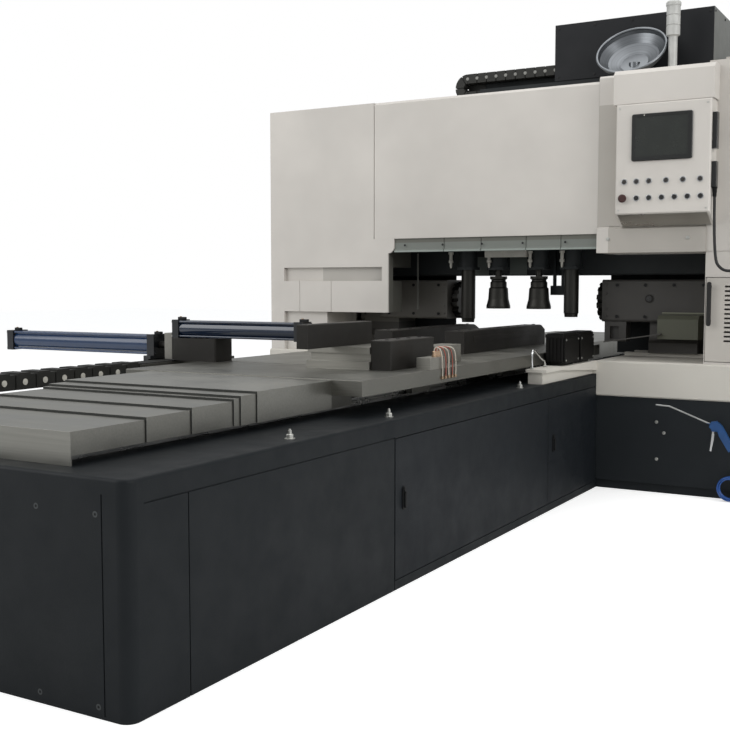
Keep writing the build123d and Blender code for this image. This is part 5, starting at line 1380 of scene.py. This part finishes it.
@dataclass
class Panels:
    """Screwed covers on the machine's sides and rear, with the cabinet's and the column's louvres."""

    sink: float = 0.001
    base_rear: float = 0.554
    base_rise: float = 0.003
    base_span: Flat = (0.78, 1.26)
    base_heights: Flat = (0.08, 0.40)
    bed_side: float = 0.65
    bed_rise: float = 0.0025
    bed_spans: tuple[Flat, ...] = ((0.60, 1.14), (1.16, 1.70))
    bed_heights: Flat = (0.05, 0.50)
    low_inset: float = 0.018
    low_screws: int = 3
    column_side: float = -1.391
    column_rise: float = 0.004
    column_bevel: float = 0.0015
    column_span: Flat = (-0.44, 0.05)
    column_heights: Flat = (0.84, 1.94)
    cabinet_side: float = 1.391
    cabinet_rise: float = 0.002
    cabinet_span: Flat = (-0.44, 0.04)
    cabinet_heights: Flat = (0.82, 2.06)
    high_inset: float = 0.02
    high_screws: int = 5
    louvres: int = 9
    louvre_pitch: float = 0.024
    louvre_line: float = -0.195
    louvre_drop: float = 0.12
    louvre_size: Point = (0.010, 0.26, 0.0015)

    @staticmethod
    def rim(span: Flat, heights: Flat, inset: float, count: int) -> list[Flat]:
        """Gives screw places along both edges of a cover."""
        return [(span[end] + inset * (1 - 2 * end), z) for end in (0, 1)
                for z in steps(heights[0] + inset, heights[1] - inset, count)]

    def low_covers(self) -> None:
        """Makes the covers on the base's rear and on both sides of the bed's end."""
        rear, rear_screws, face = [], [], self.base_rear + self.base_rise
        for ends in (tuple(-end for end in reversed(self.base_span)), self.base_span):
            rear.append(plate((ends[0], self.base_rear - self.sink, self.base_heights[0]),
                              (ends[1], face, self.base_heights[1])))
            rear_screws += [((x, face, z), Side.REAR)
                            for x, z in self.rim(ends, self.base_heights, self.low_inset, self.low_screws)]
        shown("base_rear_covers", joined(rear, BED_DOOR), "machine")
        fasteners("base_rear_screws", rear_screws, COVER_SCREW)
        bed, bed_screws = [], []
        for side, facing in ((-1, Side.LEFT), (1, Side.RIGHT)):
            face = side * (self.bed_side + self.bed_rise)
            inner = side * (self.bed_side - self.sink)
            for span in self.bed_spans:
                bed.append(plate((min(face, inner), span[0], self.bed_heights[0]),
                                 (max(face, inner), span[1], self.bed_heights[1])))
                bed_screws += [((face, y, z), facing)
                               for y, z in self.rim(span, self.bed_heights, self.low_inset, self.low_screws)]
        shown("bed_side_covers", joined(bed, BED_DOOR), "machine")
        fasteners("bed_side_screws", bed_screws, COVER_SCREW)

    def high_covers(self) -> None:
        """Makes the column's and the cabinet's covers with their louvres."""
        left, right = self.column_side - self.column_rise, self.cabinet_side + self.cabinet_rise
        (y_low, y_high), (z_low, z_high) = self.column_span, self.column_heights
        column = plate((left, y_low, z_low), (self.column_side + self.sink, y_high, z_high),
                       self.column_bevel)
        shown("column_side_cover", joined([column], PANEL), "machine")
        (y_low, y_high), (z_low, z_high) = self.cabinet_span, self.cabinet_heights
        cabinet = plate((self.cabinet_side - self.sink, y_low, z_low), (right, y_high, z_high))
        shown("cabinet_side_cover", joined([cabinet], CABINET), "machine")
        screws = [((left, y, z), Side.LEFT) for y, z in self.rim(
            self.column_span, self.column_heights, self.high_inset, self.high_screws)]
        screws += [((right, y, z), Side.RIGHT) for y, z in self.rim(
            self.cabinet_span, self.cabinet_heights, self.high_inset, self.high_screws)]
        fasteners("portal_side_screws", screws, LOW_COVER_SCREW)
        top = z_high - self.louvre_drop
        slots = [((face, self.louvre_line, top - self.louvre_pitch * row), facing)
                 for face, facing in ((left, Side.LEFT), (right, Side.RIGHT)) for row in range(self.louvres)]
        bars("portal_side_louvres", slots, self.louvre_size, BLACK_SCREW, "machine")

    def build(self) -> None:
        """Makes the covers, their screws and the louvres."""
        self.low_covers()
        self.high_covers()


@dataclass
class Console:
    """The console's corner screws, status light and underside sheet."""

    front: float = -0.666
    box: tuple[Flat, Flat] = ((0.765, 1.222), (1.392, 1.925))
    screw_insets: Flat = (0.018, 0.02)
    status: Point = (0.906, -0.675, 1.8655)
    sheet: tuple[Flat, ...] = ((-0.6600, 1.3917), (-0.5662, 1.3399), (-0.5480, 1.3399), (-0.5480, 1.3384),
                               (-0.5668, 1.3384), (-0.6608, 1.3903))
    sheet_inset: float = 0.012

    def build(self) -> None:
        """Makes the console's small fittings."""
        (x_low, x_high), (z_low, z_high) = self.box
        across, up = self.screw_insets
        corners = [((x, self.front, z), Side.FRONT) for x in (x_low + across, x_high - across)
                   for z in (z_low + up, z_high - up)]
        fasteners("console_corner_screws", corners, CORNER_SCREW)
        fasteners("screen_status_light", [(self.status, Side.FRONT)], STATUS_LIGHT)
        sheet = prism(self.sheet, Axis.X, x_low + self.sheet_inset, x_high - self.sheet_inset)
        shown("console_underside_sheet", joined([sheet], STAINLESS), "machine")


@dataclass
class Heads:
    """Screws, oil sight and carbide inserts of the milling heads."""

    spindle_height: float = 0.955
    low: float = 0.845
    high: float = 1.075
    front: float = -0.155
    spans: tuple[tuple[str, Flat], ...] = (("left_head", (-0.98, -0.42)), ("right_head", (0.60, 1.12)))
    screw_inset: float = 0.03
    screws: int = 4
    sight: Point = (0.805, -0.150, 0.972)
    insert_count: int = 14
    insert_radius: float = 0.0972
    insert_lead: float = 0.13
    insert_size: Point = (0.034, 0.004, 0.012)
    cutters: tuple[tuple[str, float], ...] = (("left_cutter", -0.369), ("right_cutter", 0.519))

    def build(self) -> None:
        """Makes the heads' small pieces, each on its own body."""
        for body, (start, end) in self.spans:
            rows = [((x, self.front, z), Side.FRONT)
                    for x in steps(start + self.screw_inset, end - self.screw_inset, self.screws)
                    for z in (self.low + self.screw_inset, self.high - self.screw_inset)]
            fasteners(f"{body}_screws", rows, HEAD_SCREW, body)
        fasteners("oil_sight_ring", [(self.sight, Side.FRONT)], SIGHT_RING, "right_head")
        glass = (self.sight[0], self.sight[1] - SIGHT_RING.height, self.sight[2])
        fasteners("oil_sight_glass", [(glass, Side.FRONT)], SIGHT_GLASS, "right_head")
        for body, middle in self.cutters:
            inserts = []
            for tooth in range(self.insert_count):
                angle = 2 * math.pi * tooth / self.insert_count + self.insert_lead
                out = (0.0, math.cos(angle), math.sin(angle))
                inserts.append(((middle, self.insert_radius * out[1],
                                 self.spindle_height + self.insert_radius * out[2]), out))
            bars(f"{body}_inserts", inserts, self.insert_size, CARBIDE, body)


@dataclass
class Saw:
    """Carbide tips of the saw blade, its flange bolts, the motor's cooling fins and the hood's screws."""

    centre: float = 0.713
    plane: float = 0.348
    height: float = 1.4
    radius: float = 0.2595
    teeth: int = 54
    tooth_lead: float = -0.008
    tip_size: Point = (0.004, 0.0074, 0.008)
    flange_face: float = 0.012
    flange_radius: float = 0.044
    flange_bolts: int = 6
    motor_height: float = 1.78
    motor_radius: float = 0.0915
    motor_middle: float = 0.392
    fins: int = 28
    fin_size: Point = (0.003, 0.094, 0.008)
    hood: tuple[Flat, Flat, Flat] = ((0.293, 1.134), (-0.25, 0.46), (2.15, 2.448))
    hood_inset: float = 0.02

    def around(self, height: float, middle: float, radius: float, count: int, lead: float = 0.0
               ) -> list[tuple[Point, Point]]:
        """Gives places round an axis along Y, each facing out."""
        places = []
        for step in range(count):
            angle = 2 * math.pi * step / count + lead
            out = (math.cos(angle), 0.0, math.sin(angle))
            places.append(((self.centre + radius * out[0], middle, height + radius * out[2]), out))
        return places

    def hood_screws(self) -> list[tuple[Point, Side]]:
        """Gives the screw places along the hood's upper and lower rims."""
        (x_low, x_high), (y_low, y_high), (z_low, z_high) = self.hood
        inset = self.hood_inset
        rims = (z_low + inset, z_high - inset)
        places = [((x, y_low, z), Side.FRONT) for x in steps(x_low + inset, x_high - inset, 5) for z in rims]
        places += [((x, y, z), side) for x, side in ((x_low, Side.LEFT), (x_high, Side.RIGHT))
                   for y in steps(y_low + inset, y_high - inset, 4) for z in rims]
        return places

    def build(self) -> None:
        """Makes the saw's small pieces."""
        tips = self.around(self.height, self.plane, self.radius - self.tip_size[2], self.teeth,
                           self.tooth_lead)
        bars("saw_tooth_tips", tips, self.tip_size, CARBIDE, "saw_blade")
        ring = self.around(self.height, self.plane + self.flange_face, self.flange_radius, self.flange_bolts)
        fasteners("saw_flange_bolts", [(place, Side.REAR) for place, _ in ring], FLANGE_BOLT, "saw_blade")
        fins = self.around(self.motor_height, self.motor_middle, self.motor_radius, self.fins)
        bars("saw_motor_fins", fins, self.fin_size, HEAD, "saw_head")
        fasteners("hood_screws", self.hood_screws(), HOOD_SCREW, "saw_carriage")


POSITIONING_CYLINDER = Cylinder("positioning", "table", (-2.240, 0.782),
                                ((-1.723, -1.683), (-0.840, -0.800)), 0.038, 0.047)
CLAMP_CYLINDER = Cylinder("clamp", "clamp_unit", (-2.260, 0.857),
                          ((-0.684, -0.650), (-0.050, -0.016)), 0.031, 0.040)


def main() -> None:
    """Builds the whole scene in order."""
    logging.basicConfig(level=logging.INFO, format="%(message)s")
    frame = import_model()
    Studio().build()
    Cords().build()
    dress_nodes(frame["nodes"])
    for assembly in (Bed(), Wipers(), Chains(), Table(), POSITIONING_CYLINDER, CLAMP_CYLINDER,
                     JunctionBoxes(), Portal(), Panels(), Console(), Heads(), Saw()):
        assembly.build()


if __name__ == "__main__":
    main()
